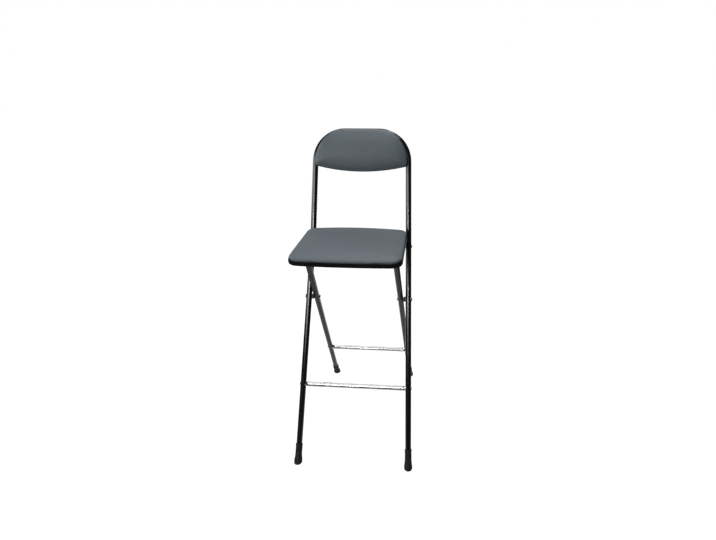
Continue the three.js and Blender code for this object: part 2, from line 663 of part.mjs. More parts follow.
// Rounded trapezoid with softly bowed front and rear edges
function seatOutline(inset) {
  const front = -frontReach + inset;
  const rear = rearReach - inset;
  const halfAt = (y) => {
    const share = (y + frontReach) / (frontReach + rearReach);
    return seatFrontHalf + (seatRearHalf - seatFrontHalf) * share - inset;
  };
  const quarter = (cx, cy, r, from, steps) => {
    const arc = [];
    for (let k = 0; k <= steps; k += 1) {
      const a = from + (k / steps) * Math.PI / 2;
      arc.push(new THREE.Vector2(cx + r * Math.cos(a), cy + r * Math.sin(a)));
    }
    return arc;
  };
  const edge = (y, bow, fromX, toX, steps) => {
    const row = [];
    for (let k = 1; k < steps; k += 1) {
      const share = -1 + (2 * k) / steps;
      const x = fromX + (toX - fromX) * (k / steps);
      row.push(new THREE.Vector2(x, y + bow * (1 - share * share)));
    }
    return row;
  };
  const rf = Math.max(SEAT_FRONT_CORNER - inset, SEAT_FRONT_CORNER / 5);
  const rr = Math.max(SEAT_REAR_CORNER - inset, SEAT_REAR_CORNER / 5);
  const [wf, wr] = [halfAt(front + rf), halfAt(rear - rr)];
  return [
    ...quarter(wf - rf, front + rf, rf, -Math.PI / 2, 6),
    ...quarter(wr - rr, rear - rr, rr, 0, 6),
    ...edge(rear, SEAT_REAR_BOW, wr - rr, rr - wr, 10),
    ...quarter(rr - wr, rear - rr, rr, Math.PI / 2, 6),
    ...quarter(rf - wf, front + rf, rf, Math.PI, 6),
    ...edge(front, -SEAT_FRONT_BOW, rf - wf, wf - rf, 8),
  ];
}

function seat() {
  const group = new THREE.Group();
  group.name = 'seat';
  group.position.copy(bar);

  const saddleX = barStraightHalf * SADDLE_PLACE_SHARE;
  const saddleRivetY = TUBE_RADIUS + CLEARANCE + STRAP_THICKNESS + SADDLE_EAR / 2;
  const hookX = hookPlace() - HOOK_FLANGE / 2 - HOOK_THICKNESS;
  const hookFront = pinReach * HOOK_START_SHARE;
  const hookLength = rearReach - hookFront;
  const hookRivetYs = HOOK_RIVET_SHARES.map((share) => hookFront + hookLength * share);
  const boardScrewX = seatFrontHalf * BOARD_SCREW_PLACE_SHARE;
  const boardScrewYs = [-frontReach * BOARD_SCREW_SHARES[0], rearReach * BOARD_SCREW_SHARES[1]];

  const plateHole = (x, y) => drill(
    new THREE.Vector3(x, y, 0), new THREE.Vector3(x, y, trayFloor + OVERRUN), SCREW_RADIUS + CLEARANCE);
  const trayHoles = [];
  for (const side of [-1, 1]) {
    for (const y of [-saddleRivetY, saddleRivetY]) trayHoles.push(plateHole(side * saddleX, y));
    for (const y of hookRivetYs) trayHoles.push(plateHole(side * hookX, y));
    for (const y of boardScrewYs) trayHoles.push(plateHole(side * boardScrewX, y));
  }

  const edgeShare = 1 - Math.SQRT1_2;
  const tray = ringLoft(seatOutline, [
    { inset: TRAY_EDGE_RADIUS, height: trayUnderside },
    { inset: TRAY_EDGE_RADIUS * edgeShare, height: trayUnderside + TRAY_EDGE_RADIUS * edgeShare },
    { inset: 0, height: trayUnderside + TRAY_EDGE_RADIUS },
    { inset: 0, height: trayUnderside + TRAY_RIM },
    { inset: TRAY_SHEET, height: trayUnderside + TRAY_RIM },
    { inset: TRAY_SHEET, height: trayFloor + TRAY_EDGE_RADIUS - TRAY_SHEET },
    { inset: TRAY_EDGE_RADIUS, height: trayFloor },
  ]);
  group.add(piece('seat_tray', cut(tray, ...trayHoles), blackPaint()));

  // The rivets' tails stand on the tray's floor, so the board has a pocket over each.
  const boardBottom = trayFloor + CLEARANCE;
  const boardTop = boardBottom + BOARD_THICKNESS;
  const boardInset = TRAY_EDGE_RADIUS + CLEARANCE;
  const board = ringLoft(seatOutline, [
    { inset: boardInset, height: boardBottom }, { inset: boardInset, height: boardTop },
  ]);
  const boardCuts = [];
  for (const side of [-1, 1]) {
    for (const y of boardScrewYs) {
      boardCuts.push(drill(new THREE.Vector3(side * boardScrewX, y, 0),
        new THREE.Vector3(side * boardScrewX, y, boardTop - OVERRUN), SCREW_RADIUS + CLEARANCE));
    }
    const sink = trayFloor + RIVET_HEAD_HEIGHT;
    for (const [x, ys] of [[saddleX, [-saddleRivetY, saddleRivetY]], [hookX, hookRivetYs]]) {
      for (const y of ys) {
        boardCuts.push(drill(new THREE.Vector3(side * x, y, 0), new THREE.Vector3(side * x, y, sink),
          SCREW_HEAD_RADIUS + CLEARANCE));
      }
    }
  }
  group.add(piece('seat_board', cut(board, ...boardCuts), plywood()));

  const low = boardTop + CLEARANCE;
  const shoulder = low + CUSHION_SIDE;
  const within = TRAY_SHEET + CLEARANCE;
  const cushion = ringLoft(seatOutline, [
    { inset: within, height: low },
    { inset: within, height: low + TRAY_EDGE_RADIUS },
    { inset: CLEARANCE, height: low + CUSHION_SIDE / 2 },
    { inset: TRAY_SHEET, height: low + CUSHION_SIDE * 3 / 4 },
    { inset: CUSHION_SHOULDER / 2, height: shoulder },
    { inset: CUSHION_SHOULDER, height: shoulder + CUSHION_CROWN / 4 },
    { inset: CUSHION_SHOULDER, shrinkShare: 0.88, height: shoulder + CUSHION_CROWN * 0.55 },
    { inset: CUSHION_SHOULDER, shrinkShare: 0.7, height: shoulder + CUSHION_CROWN * 0.8 },
    {
      inset: CUSHION_SHOULDER,
      shrinkShare: 0.4,
      height: shoulder + CUSHION_CROWN * 0.95,
      capHeight: shoulder + CUSHION_CROWN,
    },
  ], (rearReach - frontReach) / 2);
  group.add(piece('seat_cushion', cushion, greyVinyl()));

  for (const side of [-1, 1]) {
    const label = side < 0 ? 'left' : 'right';
    group.add(saddle(`seat_saddle_${label}`, side * saddleX, saddleRivetY));
    group.add(hook(`seat_hook_${label}`, side, hookFront, hookX, hookRivetYs));
    const flangeFace = trayUnderside - CLEARANCE - STRAP_THICKNESS - CLEARANCE;
    [[-1, 'front'], [1, 'rear']].forEach(([end, place]) => {
      const mesh = blindRivet(`seat_saddle_rivet_${label}_${place}`, trayFloor - flangeFace);
      mesh.position.set(side * saddleX, end * saddleRivetY, flangeFace);
      group.add(mesh);
    });
    hookRivetYs.forEach((y, i) => {
      const face = trayUnderside - HOOK_THICKNESS - 2 * CLEARANCE;
      const mesh = blindRivet(`seat_hook_rivet_${label}_${i ? 'rear' : 'front'}`, trayFloor - face);
      mesh.position.set(side * hookX, y, face);
      group.add(mesh);
    });
    boardScrewYs.forEach((y, i) => {
      const mesh = piece(`seat_board_screw_${label}_${i ? 'rear' : 'front'}`,
        screw(BOARD_THICKNESS - OVERRUN, new THREE.Vector3(0, 0, 1)), steel());
      mesh.position.set(side * boardScrewX, y, trayUnderside - CLEARANCE);
      group.add(mesh);
    });
  }
  return group;
}

// A low-headed rivet along +Z from under a flange to the tray's floor
function blindRivet(name, grip) {
  const head = SCREW_HEAD_HEIGHT;
  const profile = [
    [0, -head], [SCREW_HEAD_RADIUS * 0.75, -head], [SCREW_HEAD_RADIUS, -head / 2], [SCREW_HEAD_RADIUS, 0],
    [SCREW_RADIUS, 0], [SCREW_RADIUS, grip + CLEARANCE], [SCREW_HEAD_RADIUS * 0.9, grip + CLEARANCE],
    [SCREW_HEAD_RADIUS * 0.6, grip + head / 2 + CLEARANCE], [0, grip + head / 2 + CLEARANCE],
  ];
  return piece(name, revolve(profile, SMALL_SIDES), steel());
}

// Pipe saddle: a U strap under the bar with an ear to each side
function saddle(name, x, rivetY) {
  const inner = TUBE_RADIUS + CLEARANCE;
  const outer = inner + STRAP_THICKNESS;
  const earTop = trayUnderside - CLEARANCE;
  const earLow = earTop - STRAP_THICKNESS;
  const end = outer + SADDLE_EAR;
  const shape = new THREE.Shape();
  shape.moveTo(-end, earTop);
  shape.lineTo(-end, earLow);
  shape.lineTo(-outer, earLow);
  shape.lineTo(-outer, 0);
  shape.absarc(0, 0, outer, Math.PI, Math.PI * 2, false);
  shape.lineTo(outer, earLow);
  shape.lineTo(end, earLow);
  shape.lineTo(end, earTop);
  shape.lineTo(inner, earTop);
  shape.lineTo(inner, 0);
  shape.absarc(0, 0, inner, 0, -Math.PI, true);
  shape.lineTo(-inner, earTop);
  shape.closePath();
  const strap = plateAlongX(shape, SADDLE_WIDTH, TUBE_SIDES / 2, -SADDLE_WIDTH / 2);
  const holes = [-1, 1].map((side) => drill(
    new THREE.Vector3(0, side * rivetY, earLow - OVERRUN),
    new THREE.Vector3(0, side * rivetY, earTop + OVERRUN), SCREW_RADIUS + CLEARANCE));
  const mesh = piece(name, cut(strap, ...holes), blackPaint());
  mesh.position.x = x;
  return mesh;
}

// An extrusion of a shape drawn in (y, z), its thickness along +X from startX
function plateAlongX(shape, depth, curveSegments, startX) {
  const axes = new THREE.Matrix4().makeBasis(
    new THREE.Vector3(0, 1, 0), new THREE.Vector3(0, 0, 1), new THREE.Vector3(1, 0, 0));
  return new THREE.ExtrudeGeometry(shape, { depth, bevelEnabled: false, curveSegments })
    .applyMatrix4(axes).translate(startX, 0, 0);
}

// Angle at which a line from a point touches a circle, on its left (1) or right (-1)
function touchAngle(from, centre, radius, hand) {
  const away = new THREE.Vector2().subVectors(from, centre);
  return away.angle() - hand * Math.acos(radius / away.length());
}

// Hook: a flange under the tray and a plate that hooks over the pin's sleeve
function hook(name, side, front, rivetX, rivetYs) {
  const pinY = pinReach;
  const pinZ = seatPin.z - bar.z;
  const eye = SLEEVE_RADIUS + CLEARANCE;
  const round = eye + HOOK_LIP;
  const top = trayUnderside - CLEARANCE;
  const armStart = front + (rearReach - front) * HOOK_ARM_SHARE;
  const armFront = new THREE.Vector2(armStart, top - HOOK_THICKNESS);
  const armRear = new THREE.Vector2(rearReach - TRAY_EDGE_RADIUS, top);
  const eyeCentre = new THREE.Vector2(pinY, pinZ);
  const shape = new THREE.Shape();
  shape.moveTo(front, top);
  shape.lineTo(front, top - HOOK_THICKNESS);
  shape.lineTo(armFront.x, armFront.y);
  shape.absarc(pinY, pinZ, round, touchAngle(armFront, eyeCentre, round, -1),
    touchAngle(armRear, eyeCentre, round, 1), false);
  shape.lineTo(armRear.x, armRear.y);
  shape.closePath();
  const plateStart = side < 0 ? -hookPlace() : hookPlace() - HOOK_THICKNESS;
  const plate = plateAlongX(shape, HOOK_THICKNESS, TUBE_SIDES, plateStart);

  const flangeLength = armRear.x - front;
  const flangeX = side * (hookPlace() - HOOK_FLANGE / 2);
  const flange = new THREE.BoxGeometry(HOOK_FLANGE, flangeLength, HOOK_THICKNESS)
    .translate(flangeX, front + flangeLength / 2, top - HOOK_THICKNESS / 2);

  const mouth = radians(HOOK_MOUTH_DEG);
  const out = new THREE.Vector2(Math.cos(mouth), Math.sin(mouth)).multiplyScalar(2 * round);
  const away = new THREE.Vector2(-Math.sin(mouth), Math.cos(mouth));
  const slot = new THREE.Shape();
  slot.absarc(pinY, pinZ, eye, mouth + Math.PI / 2, mouth + Math.PI * 3 / 2, false);
  const flare = eye * 1.6;
  slot.lineTo(pinY + out.x - away.x * flare, pinZ + out.y - away.y * flare);
  slot.lineTo(pinY + out.x + away.x * flare, pinZ + out.y + away.y * flare);
  slot.closePath();
  const cutter = plateAlongX(slot, HOOK_THICKNESS + 2 * OVERRUN, TUBE_SIDES, plateStart - OVERRUN);

  let solid = toSolid(plate).subtract(toSolid(cutter)).add(toSolid(flange));
  for (const y of rivetYs) {
    solid = solid.subtract(toSolid(drill(
      new THREE.Vector3(side * rivetX, y, top - HOOK_THICKNESS - OVERRUN),
      new THREE.Vector3(side * rivetX, y, top + OVERRUN), SCREW_RADIUS + CLEARANCE)));
  }
  return piece(name, solid, blackPaint());
}

// Assembly: the origin ends on the floor, under the middle of the stool

const stool = new THREE.Group();
stool.name = 'folding_bar_stool';
stool.add(mainFrame(), rearFrame(), seat());
stool.updateMatrixWorld(true);
const box = new THREE.Box3().setFromObject(stool, true);
stool.position.y = -(box.min.y + box.max.y) / 2;

export default stool;
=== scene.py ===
# %% [markdown]
# Folding bar stool
#
# The stool stands on two crossing frames of black steel tube. The front tube is
# also the back hoop. The seat hangs on the rear frame's cross bar.
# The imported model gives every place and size. This file dresses it: finer tubes
# and feet, padded vinyl made with cloth, small fasteners and all the finishes.

# %% Load the frame
import math

import bmesh
import bpy
import numpy as np
from mathutils import Matrix, Vector
from mathutils.bvhtree import BVHTree
from mathutils.geometry import convex_hull_2d


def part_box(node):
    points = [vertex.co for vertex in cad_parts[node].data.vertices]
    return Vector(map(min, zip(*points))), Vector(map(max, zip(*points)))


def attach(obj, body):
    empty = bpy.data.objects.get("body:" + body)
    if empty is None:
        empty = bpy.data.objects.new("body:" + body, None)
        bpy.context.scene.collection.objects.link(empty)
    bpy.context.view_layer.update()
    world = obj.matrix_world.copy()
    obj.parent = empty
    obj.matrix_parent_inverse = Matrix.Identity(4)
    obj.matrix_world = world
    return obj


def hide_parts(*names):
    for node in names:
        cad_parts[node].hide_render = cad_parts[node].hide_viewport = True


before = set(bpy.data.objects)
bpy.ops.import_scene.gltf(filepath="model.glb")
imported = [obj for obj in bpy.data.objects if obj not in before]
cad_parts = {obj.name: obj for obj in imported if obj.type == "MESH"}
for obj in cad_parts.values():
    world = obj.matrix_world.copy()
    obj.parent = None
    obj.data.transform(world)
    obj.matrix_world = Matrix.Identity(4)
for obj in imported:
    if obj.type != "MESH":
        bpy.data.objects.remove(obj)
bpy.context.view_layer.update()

# %% [markdown]
# The photograph was taken a little to the right of the stool and from above.
# The camera's place and lens come from a least-squares fit of the tube edges,
# feet, rails and hoop. A small shift puts the stool where the photograph has it.

# %% Camera
PHOTO_WIDTH, PHOTO_HEIGHT = 716, 540
FOCAL_PIXELS = 565.4
CENTRE_PIXEL = (394.7, 248.6)
SENSOR_WIDTH = 36
CAMERA_PLACE = Vector((0.2982, -1.8142, 1.3977))
YAW, PITCH, ROLL = (math.radians(a) for a in (5.44, 21.04, -0.51))

forward = Vector((
    -math.sin(YAW) * math.cos(PITCH), math.cos(YAW) * math.cos(PITCH), -math.sin(PITCH)))
level = Vector((math.cos(YAW), math.sin(YAW), 0))
upward = level.cross(forward)
across = math.cos(ROLL) * level + math.sin(ROLL) * upward
upward = math.cos(ROLL) * upward - math.sin(ROLL) * level

lens = bpy.data.cameras.new("camera")
lens.sensor_width = SENSOR_WIDTH
lens.lens = FOCAL_PIXELS * SENSOR_WIDTH / PHOTO_WIDTH
lens.shift_x = (PHOTO_WIDTH / 2 - CENTRE_PIXEL[0]) / PHOTO_WIDTH
lens.shift_y = (CENTRE_PIXEL[1] - PHOTO_HEIGHT / 2) / PHOTO_WIDTH
camera = bpy.data.objects.new("camera", lens)
bpy.context.scene.collection.objects.link(camera)
camera.matrix_world = Matrix((
    (across.x, upward.x, -forward.x, CAMERA_PLACE.x),
    (across.y, upward.y, -forward.y, CAMERA_PLACE.y),
    (across.z, upward.z, -forward.z, CAMERA_PLACE.z),
    (0, 0, 0, 1),
))
bpy.context.scene.camera = camera
print("lens", round(lens.lens, 2), "mm")

# %% [markdown]
# A node tree, for a finish or for Geometry Nodes, is easier to read as sums.
# Wire wraps one socket, so that 1 - mask or grain * 0.3 adds Math nodes.
# Graph wraps a tree. Its one method adds any other node: its type, its
# settings, which are set first, and the values or wires of its sockets.

# %% Wires and graphs
class Wire:
    def __init__(self, graph, socket):
        self.graph, self.socket = graph, socket

    def maths(self, operation, first, second):
        return self.graph.add("ShaderNodeMath", {"operation": operation}, {0: first, 1: second})

    def __add__(self, other):
        return self.maths("ADD", self, other)

    def __radd__(self, other):
        return self.maths("ADD", other, self)

    def __sub__(self, other):
        return self.maths("SUBTRACT", self, other)

    def __rsub__(self, other):
        return self.maths("SUBTRACT", other, self)

    def __mul__(self, other):
        return self.maths("MULTIPLY", self, other)

    def __rmul__(self, other):
        return self.maths("MULTIPLY", other, self)

    def __truediv__(self, other):
        return self.maths("DIVIDE", self, other)

    def __pow__(self, other):
        return self.maths("POWER", self, other)


def pick(sockets, key):
    shown = [s for s in sockets if s.enabled]
    return shown[key] if isinstance(key, int) else next(s for s in shown if s.name == key)


class Graph:
    def __init__(self, tree):
        self.tree = tree

    def join(self, value, socket):
        if isinstance(value, Wire):
            self.tree.links.new(value.socket, socket)
        else:
            socket.default_value = value

    def add(self, kind, settings=None, inputs=None, output=0):
        node = self.tree.nodes.new(kind)
        for key, value in (settings or {}).items():
            if key == "stops":
                ramp = node.color_ramp
                while len(ramp.elements) < len(value):
                    ramp.elements.new(0.5)
                for element, (place, shade) in zip(ramp.elements, value):
                    element.position, element.color = place, (shade, shade, shade, 1)
            else:
                setattr(node, key, value)
        for key, value in (inputs or {}).items():
            self.join(value, pick(node.inputs, key))
        return Wire(self, pick(node.outputs, output))

# %% [markdown]
# Each finish is a Principled shader with detail at its real scale. All patterns
# read Object coordinates, in metres, because every piece sits at the origin:
# a noise of scale 500 has features of about 2 mm. Only colour, roughness and
# a bump change over the surface, so that the exported model keeps them.

# %% Finish helper
class Finish(Graph):
    def __init__(self, name, **constants):
        self.material = bpy.data.materials.new(name)
        self.material.use_nodes = True
        super().__init__(self.material.node_tree)
        self.shader = self.tree.nodes["Principled BSDF"]
        self.place = self.add("ShaderNodeTexCoord", output="Object")
        for key, value in constants.items():
            self.shader.inputs[key.replace("_", " ")].default_value = value

    def noise(self, scale, detail=2.0, rough=0.5, at=None):
        return self.add("ShaderNodeTexNoise", {}, {
            "Vector": at or self.place, "Scale": scale, "Detail": detail, "Roughness": rough})

    def stretched(self, scale):
        return self.add("ShaderNodeMapping", {}, {"Vector": self.place, "Scale": scale})

    def between(self, share, first, second):
        return self.add("ShaderNodeMix", {"data_type": "RGBA"}, {
            "Factor": share, "A": (*first, 1), "B": (*second, 1)})

    def ramp(self, value, *stops):
        return self.add("ShaderNodeValToRGB", {"stops": stops}, {0: value})

    def wear(self, colour, roughness=None, height=None, depth=0.0, strength=1.0):
        for value, name in ((colour, "Base Color"), (roughness, "Roughness")):
            if value is not None:
                self.join(value, self.shader.inputs[name])
        if height is not None:
            bump = self.add("ShaderNodeBump", {}, {
                "Height": height, "Distance": depth, "Strength": strength})
            self.join(bump, self.shader.inputs["Normal"])
        return self.material

# %% [markdown]
# The tubes are sprayed or powder coated in gloss black. Such a coat is never
# quite flat: it has a faint orange peel of about 2 mm, a film of dust in
# places, and fine dull rubs where the stool is handled.

# %% Gloss black paint
def black_paint():
    clean, dusty, peel_depth = (0.0022, 0.0023, 0.0025), (0.009, 0.0094, 0.010), 0.00002
    f = Finish("black_paint", Specular_IOR_Level=0.72)
    peel = f.noise(420, 2.0)
    dust = f.ramp(f.noise(14, 4.0, 0.6), (0.42, 0), (0.75, 1))
    rubs = f.ramp(f.noise(1, 6.0, 0.7, f.stretched((260, 260, 24))), (0.62, 0), (0.72, 1))
    return f.wear(f.between(dust * 0.5 + rubs * 0.3, clean, dusty),
                  0.15 + dust * 0.08 + rubs * 0.12, peel + rubs * 0.2, peel_depth, 0.10)


BLACK = black_paint()
print("finish", BLACK.name)

# %% [markdown]
# The rails are bright chrome. Real plating shows faint drawn lines round the
# bar, small pits and a slightly milky film, which break up its reflections.

# %% Chrome
def chrome():
    bright, milky, line_depth = (0.74, 0.75, 0.77), (0.52, 0.53, 0.55), 0.00002
    f = Finish("chrome", Metallic=1.0)
    lines = f.noise(1, 3.0, 0.6, f.stretched((900, 40, 40)))
    film = f.ramp(f.noise(35, 4.0, 0.6), (0.35, 0), (0.7, 1))
    pits = f.ramp(f.noise(1400, 1.0), (0.70, 0), (0.76, 1))
    return f.wear(f.between(film * 0.6 + pits * 0.4, bright, milky),
                  0.12 + film * 0.12 + lines * 0.06, lines * 0.4 - pits, line_depth, 0.15)


CHROME = chrome()
print("finish", CHROME.name)

# %% [markdown]
# The feet are moulded rubber: nearly black, dull, with a fine matt grain and a
# greyer scuffed band at the sole, where they rub on the floor. The scuff follows
# the height above the floor. The spacers and sleeves at the joints are nylon,
# which is a little glossier and has faint flow streaks.

# %% Rubber and nylon
def rubber():
    clean, scuffed, grain_depth = (0.004, 0.004, 0.0045), (0.022, 0.0215, 0.021), 0.00015
    f = Finish("rubber", Specular_IOR_Level=0.35)
    grain = f.noise(1500, 3.0, 0.6)
    height = f.add("ShaderNodeSeparateXYZ", {}, {0: f.place}, "Z")
    scuff = f.ramp(1 - height * 90 + f.noise(120, 4.0) * 0.5, (0.55, 0), (1.0, 1))
    blotch = f.noise(60, 3.0)
    return f.wear(f.between(scuff * 0.6 + blotch * 0.25, clean, scuffed),
                  0.58 + grain * 0.18 + scuff * 0.12, grain, grain_depth, 0.6)


def nylon():
    dark, pale, mould_depth = (0.009, 0.009, 0.010), (0.020, 0.020, 0.021), 0.00006
    f = Finish("nylon", Specular_IOR_Level=0.45)
    mould = f.noise(700, 2.0)
    streak = f.noise(1, 2.0, 0.5, f.stretched((60, 400, 400)))
    return f.wear(f.between(streak, dark, pale), 0.34 + mould * 0.16, mould, mould_depth, 0.4)


RUBBER = rubber()
NYLON = nylon()
print("finish", RUBBER.name, NYLON.name)

# %% [markdown]
# Screws and plugs are blackened steel. The oxide is uneven and rubs bright on
# its edges, so its colour and roughness change over a few millimetres. The
# boards under the pads are plywood painted black, with its grain and open pores
# still showing.

# %% Blackened steel and black board
def dark_steel():
    oxide, rubbed, grain_depth = (0.045, 0.046, 0.050), (0.16, 0.16, 0.165), 0.00004
    f = Finish("dark_steel", Metallic=1.0)
    cloud = f.ramp(f.noise(260, 4.0, 0.6), (0.4, 0), (0.7, 1))
    fine = f.noise(2200, 2.0)
    return f.wear(f.between(cloud, oxide, rubbed), 0.28 + fine * 0.22, fine, grain_depth, 0.5)


def black_board():
    dark, pale, pore_depth = (0.006, 0.006, 0.0062), (0.020, 0.018, 0.017), 0.00012
    f = Finish("plywood", Specular_IOR_Level=0.3)
    grain = f.noise(1, 5.0, 0.65, f.stretched((14, 260, 260)))
    pores = f.ramp(f.noise(1, 2.0, 0.5, f.stretched((120, 1500, 1500))), (0.60, 0), (0.68, 1))
    return f.wear(f.between(grain, dark, pale), 0.50 + grain * 0.2, grain - pores, pore_depth, 0.5)


STEEL = dark_steel()
BOARD = black_board()
print("finish", STEEL.name, BOARD.name)

# %% [markdown]
# The pads are covered in grey vinyl, embossed as leather. The emboss is a
# pebble grain of cells about 1.5 mm across with creases between them. A second,
# finer cell pattern breaks the cells up. Broad clouds vary the colour at random,
# and the creases are painted darker, which is painted shade.

# %% Grey vinyl
def grey_vinyl():
    raised, cloud_and_crease_shade, pebble_depth = (0.077, 0.096, 0.110), (0.058, 0.072, 0.0825), 0.00020
    f = Finish("grey_vinyl", Specular_IOR_Level=0.42)
    bend = f.noise(220, 2.0)
    push = f.add("ShaderNodeTexNoise", {}, {"Scale": 300.0}, "Color")
    wander = f.add("ShaderNodeMix", {"data_type": "VECTOR"}, {
        "Factor": 0.0022, "A": f.place, "B": push})
    cells = f.add("ShaderNodeTexVoronoi", {"feature": "SMOOTH_F1"}, {
        "Vector": wander, "Scale": 620.0, "Smoothness": 0.35}, "Distance")
    small = f.add("ShaderNodeTexVoronoi", {"feature": "F1"}, {
        "Vector": wander, "Scale": 1500.0}, "Distance")
    pebble = 1 - cells * 0.9 - small * 0.25
    # The crease mask paints shade into the creases, a darker grey, and also roughens them.
    crease = f.ramp(cells, (0.45, 0), (0.75, 1))
    cloud = f.noise(9, 3.0)
    # The darker grey is both the clouds' random tone and the painted shade in the creases.
    return f.wear(f.between(cloud * 0.5 + crease * 0.35, raised, cloud_and_crease_shade),
                  0.45 + crease * 0.14 + bend * 0.05, pebble, pebble_depth, 0.7)


VINYL = grey_vinyl()
print("finish", VINYL.name)

# %% [markdown]
# The front tube runs from a foot up the leg, bends back at the seat, goes round
# the hoop and down again. It could be extruded in mesh code, but a tube is a
# circle swept along a path, which is what Geometry Nodes do best: the script
# gives the path's corners and bend radii, and one tree makes every tube. First
# come the sizes, in metres and degrees, and where each leg's axis is at a height.

# %% Where the axes run
def place_of(node):
    low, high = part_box(node)
    return (low + high) / 2


def tangent(degrees):
    return math.tan(math.radians(degrees))


TUBE_RADIUS = 0.010
CLEARANCE = 0.0003
FRONT_SPREAD, FRONT_LEAN, FRONT_SPLAY = 0.3836, 24.75, 1.73
BEND_HEIGHT, BACK_LEAN, BACK_TAPER = 0.720, 17.25, 1.3
SCISSOR_HEIGHT, SPACER = 0.5245, 0.0077
REAR_LEAN, REAR_SPLAY, BAR_HEIGHT = 31.83, 1.29, 0.736
FRONT_FEET_Y = place_of("scissor_rivet_left").y - SCISSOR_HEIGHT * tangent(FRONT_LEAN)


def front_axis(height, side):
    leg, back = min(height, BEND_HEIGHT), max(height - BEND_HEIGHT, 0)
    spread = FRONT_SPREAD / 2 - leg * tangent(FRONT_SPLAY) - back * tangent(BACK_TAPER)
    depth = leg * tangent(FRONT_LEAN) + back * tangent(BACK_LEAN)
    return Vector((side * spread, FRONT_FEET_Y + depth, height))


def rear_axis(height, side):
    scissor = front_axis(SCISSOR_HEIGHT, 1)
    drop = SCISSOR_HEIGHT - height
    spread = scissor.x - 2 * TUBE_RADIUS - SPACER + drop * tangent(REAR_SPLAY)
    return Vector((side * spread, scissor.y + drop * tangent(REAR_LEAN), height))


def leg_direction(axis, top, side):
    return (axis(top, side) - axis(0, side)).normalized()


print("front feet at y", round(FRONT_FEET_Y, 5))

# %% [markdown]
# A bender turns a tube round a former, so each corner of a path becomes an arc
# that touches both of its straight runs. The arc's centre lies on the line that
# halves the corner, and the arc is cut into steps of 2.5 degrees.

# %% Round the corners of a path
def rounded(corners, radii, step=math.radians(2.5)):
    points = [corners[0]]
    for before, corner, after, radius in zip(corners, corners[1:], corners[2:], radii):
        back, ahead = (before - corner).normalized(), (after - corner).normalized()
        turn = math.pi - back.angle(ahead)
        start = corner + back * radius * math.tan(turn / 2)
        centre = corner + (back + ahead).normalized() * radius / math.cos(turn / 2)
        arm, axis = start - centre, ahead.cross(back).normalized()
        out = axis.cross(arm)
        steps = max(2, math.ceil(turn / step))
        for k in range(steps + 1):
            angle = turn * k / steps
            points.append(centre + arm * math.cos(angle) + out * math.sin(angle))
    points.append(corners[-1])
    return points

# %% [markdown]
# Geometry Nodes work as a modifier on an object, here on the bare path or the
# bare points that a shape grows from. new_tree gives a tree its named inputs and
# end_tree its finish. smooth_but shades a shape smooth but leaves the edges
# crisp that turn by more than an angle, in radians. grow sets the inputs, lets
# Blender work the shape out and keeps the result as a plain mesh, so that no
# modifier is left on the piece.

# %% New objects
def new_object(name, mesh):
    made = bpy.data.objects.new(name, mesh)
    bpy.context.scene.collection.objects.link(made)
    return made


def mesh_object(name, points, edges=(), faces=()):
    mesh = bpy.data.meshes.new(name)
    mesh.from_pydata([tuple(p) for p in points], edges, faces)
    return new_object(name, mesh)


def worked_out(source):
    shapes = bpy.context.evaluated_depsgraph_get()
    mesh = bpy.data.meshes.new_from_object(source.evaluated_get(shapes), depsgraph=shapes)
    bpy.data.objects.remove(source)
    return mesh

# %% New trees
def new_tree(name, **inputs):
    tree = bpy.data.node_groups.new(name, "GeometryNodeTree")
    tree.interface.new_socket("Geometry", in_out="INPUT", socket_type="NodeSocketGeometry")
    for label, kind in inputs.items():
        tree.interface.new_socket(label, in_out="INPUT", socket_type="NodeSocket" + kind)
    tree.interface.new_socket("Geometry", in_out="OUTPUT", socket_type="NodeSocketGeometry")
    graph = Graph(tree)
    start = tree.nodes.new("NodeGroupInput")
    graph.given = {s.name: Wire(graph, s) for s in start.outputs if s.name}
    return graph


def smooth_but(graph, shape, sharpest):
    corner = graph.add("GeometryNodeInputMeshEdgeAngle")
    sharp = graph.add("FunctionNodeCompare", {"operation": "GREATER_THAN"}, {
        0: corner, 1: sharpest})
    smooth = graph.add("GeometryNodeSetShadeSmooth", {"domain": "FACE"}, {0: shape})
    return graph.add("GeometryNodeSetShadeSmooth", {"domain": "EDGE"}, {
        0: smooth, "Selection": sharp, "Shade Smooth": False})


def end_tree(graph, shape):
    whole = graph.add("GeometryNodeRealizeInstances", {}, {0: shape})
    coated = graph.add("GeometryNodeSetMaterial", {}, {
        "Geometry": whole, "Material": graph.given["Finish"]})
    graph.join(coated, graph.tree.nodes.new("NodeGroupOutput").inputs[0])
    return graph.tree


def grow(name, source, tree, **sizes):
    modifier = source.modifiers.new("grow", "NODES")
    modifier.node_group = tree
    for item in tree.interface.items_tree:
        if item.in_out == "INPUT" and item.name in sizes:
            modifier[item.identifier] = sizes[item.name]
    mesh = worked_out(source)
    if not any(mesh.materials):
        mesh.materials.append(sizes["Finish"])
    print(name, len(mesh.vertices), "points", len(mesh.polygons), "faces")
    return new_object(name, mesh)

# %% The tree that bends a tube
def tube_tree():
    g = new_tree("bent_tube", Radius="Float", Sides="Int", Finish="Material")
    path = g.add("GeometryNodeMeshToCurve", {}, {0: g.given["Geometry"]})
    ring = g.add("GeometryNodeCurvePrimitiveCircle", {}, {
        "Resolution": g.given["Sides"], "Radius": g.given["Radius"]})
    skin = g.add("GeometryNodeCurveToMesh", {}, {
        "Curve": path, "Profile Curve": ring, "Fill Caps": True})
    return end_tree(g, smooth_but(g, skin, sharpest=0.6))


TUBE_TREE = tube_tree()


def tube(name, path):
    source = mesh_object(name + "_path", path, [(i, i + 1) for i in range(len(path) - 1)])
    return grow(name, source, TUBE_TREE, Radius=TUBE_RADIUS, Sides=40, Finish=BLACK)

# %% [markdown]
# The tubes end inside the rubber feet, a sole's thickness above the floor. The
# hoop is the front path with its two top corners rounded to 105 mm.

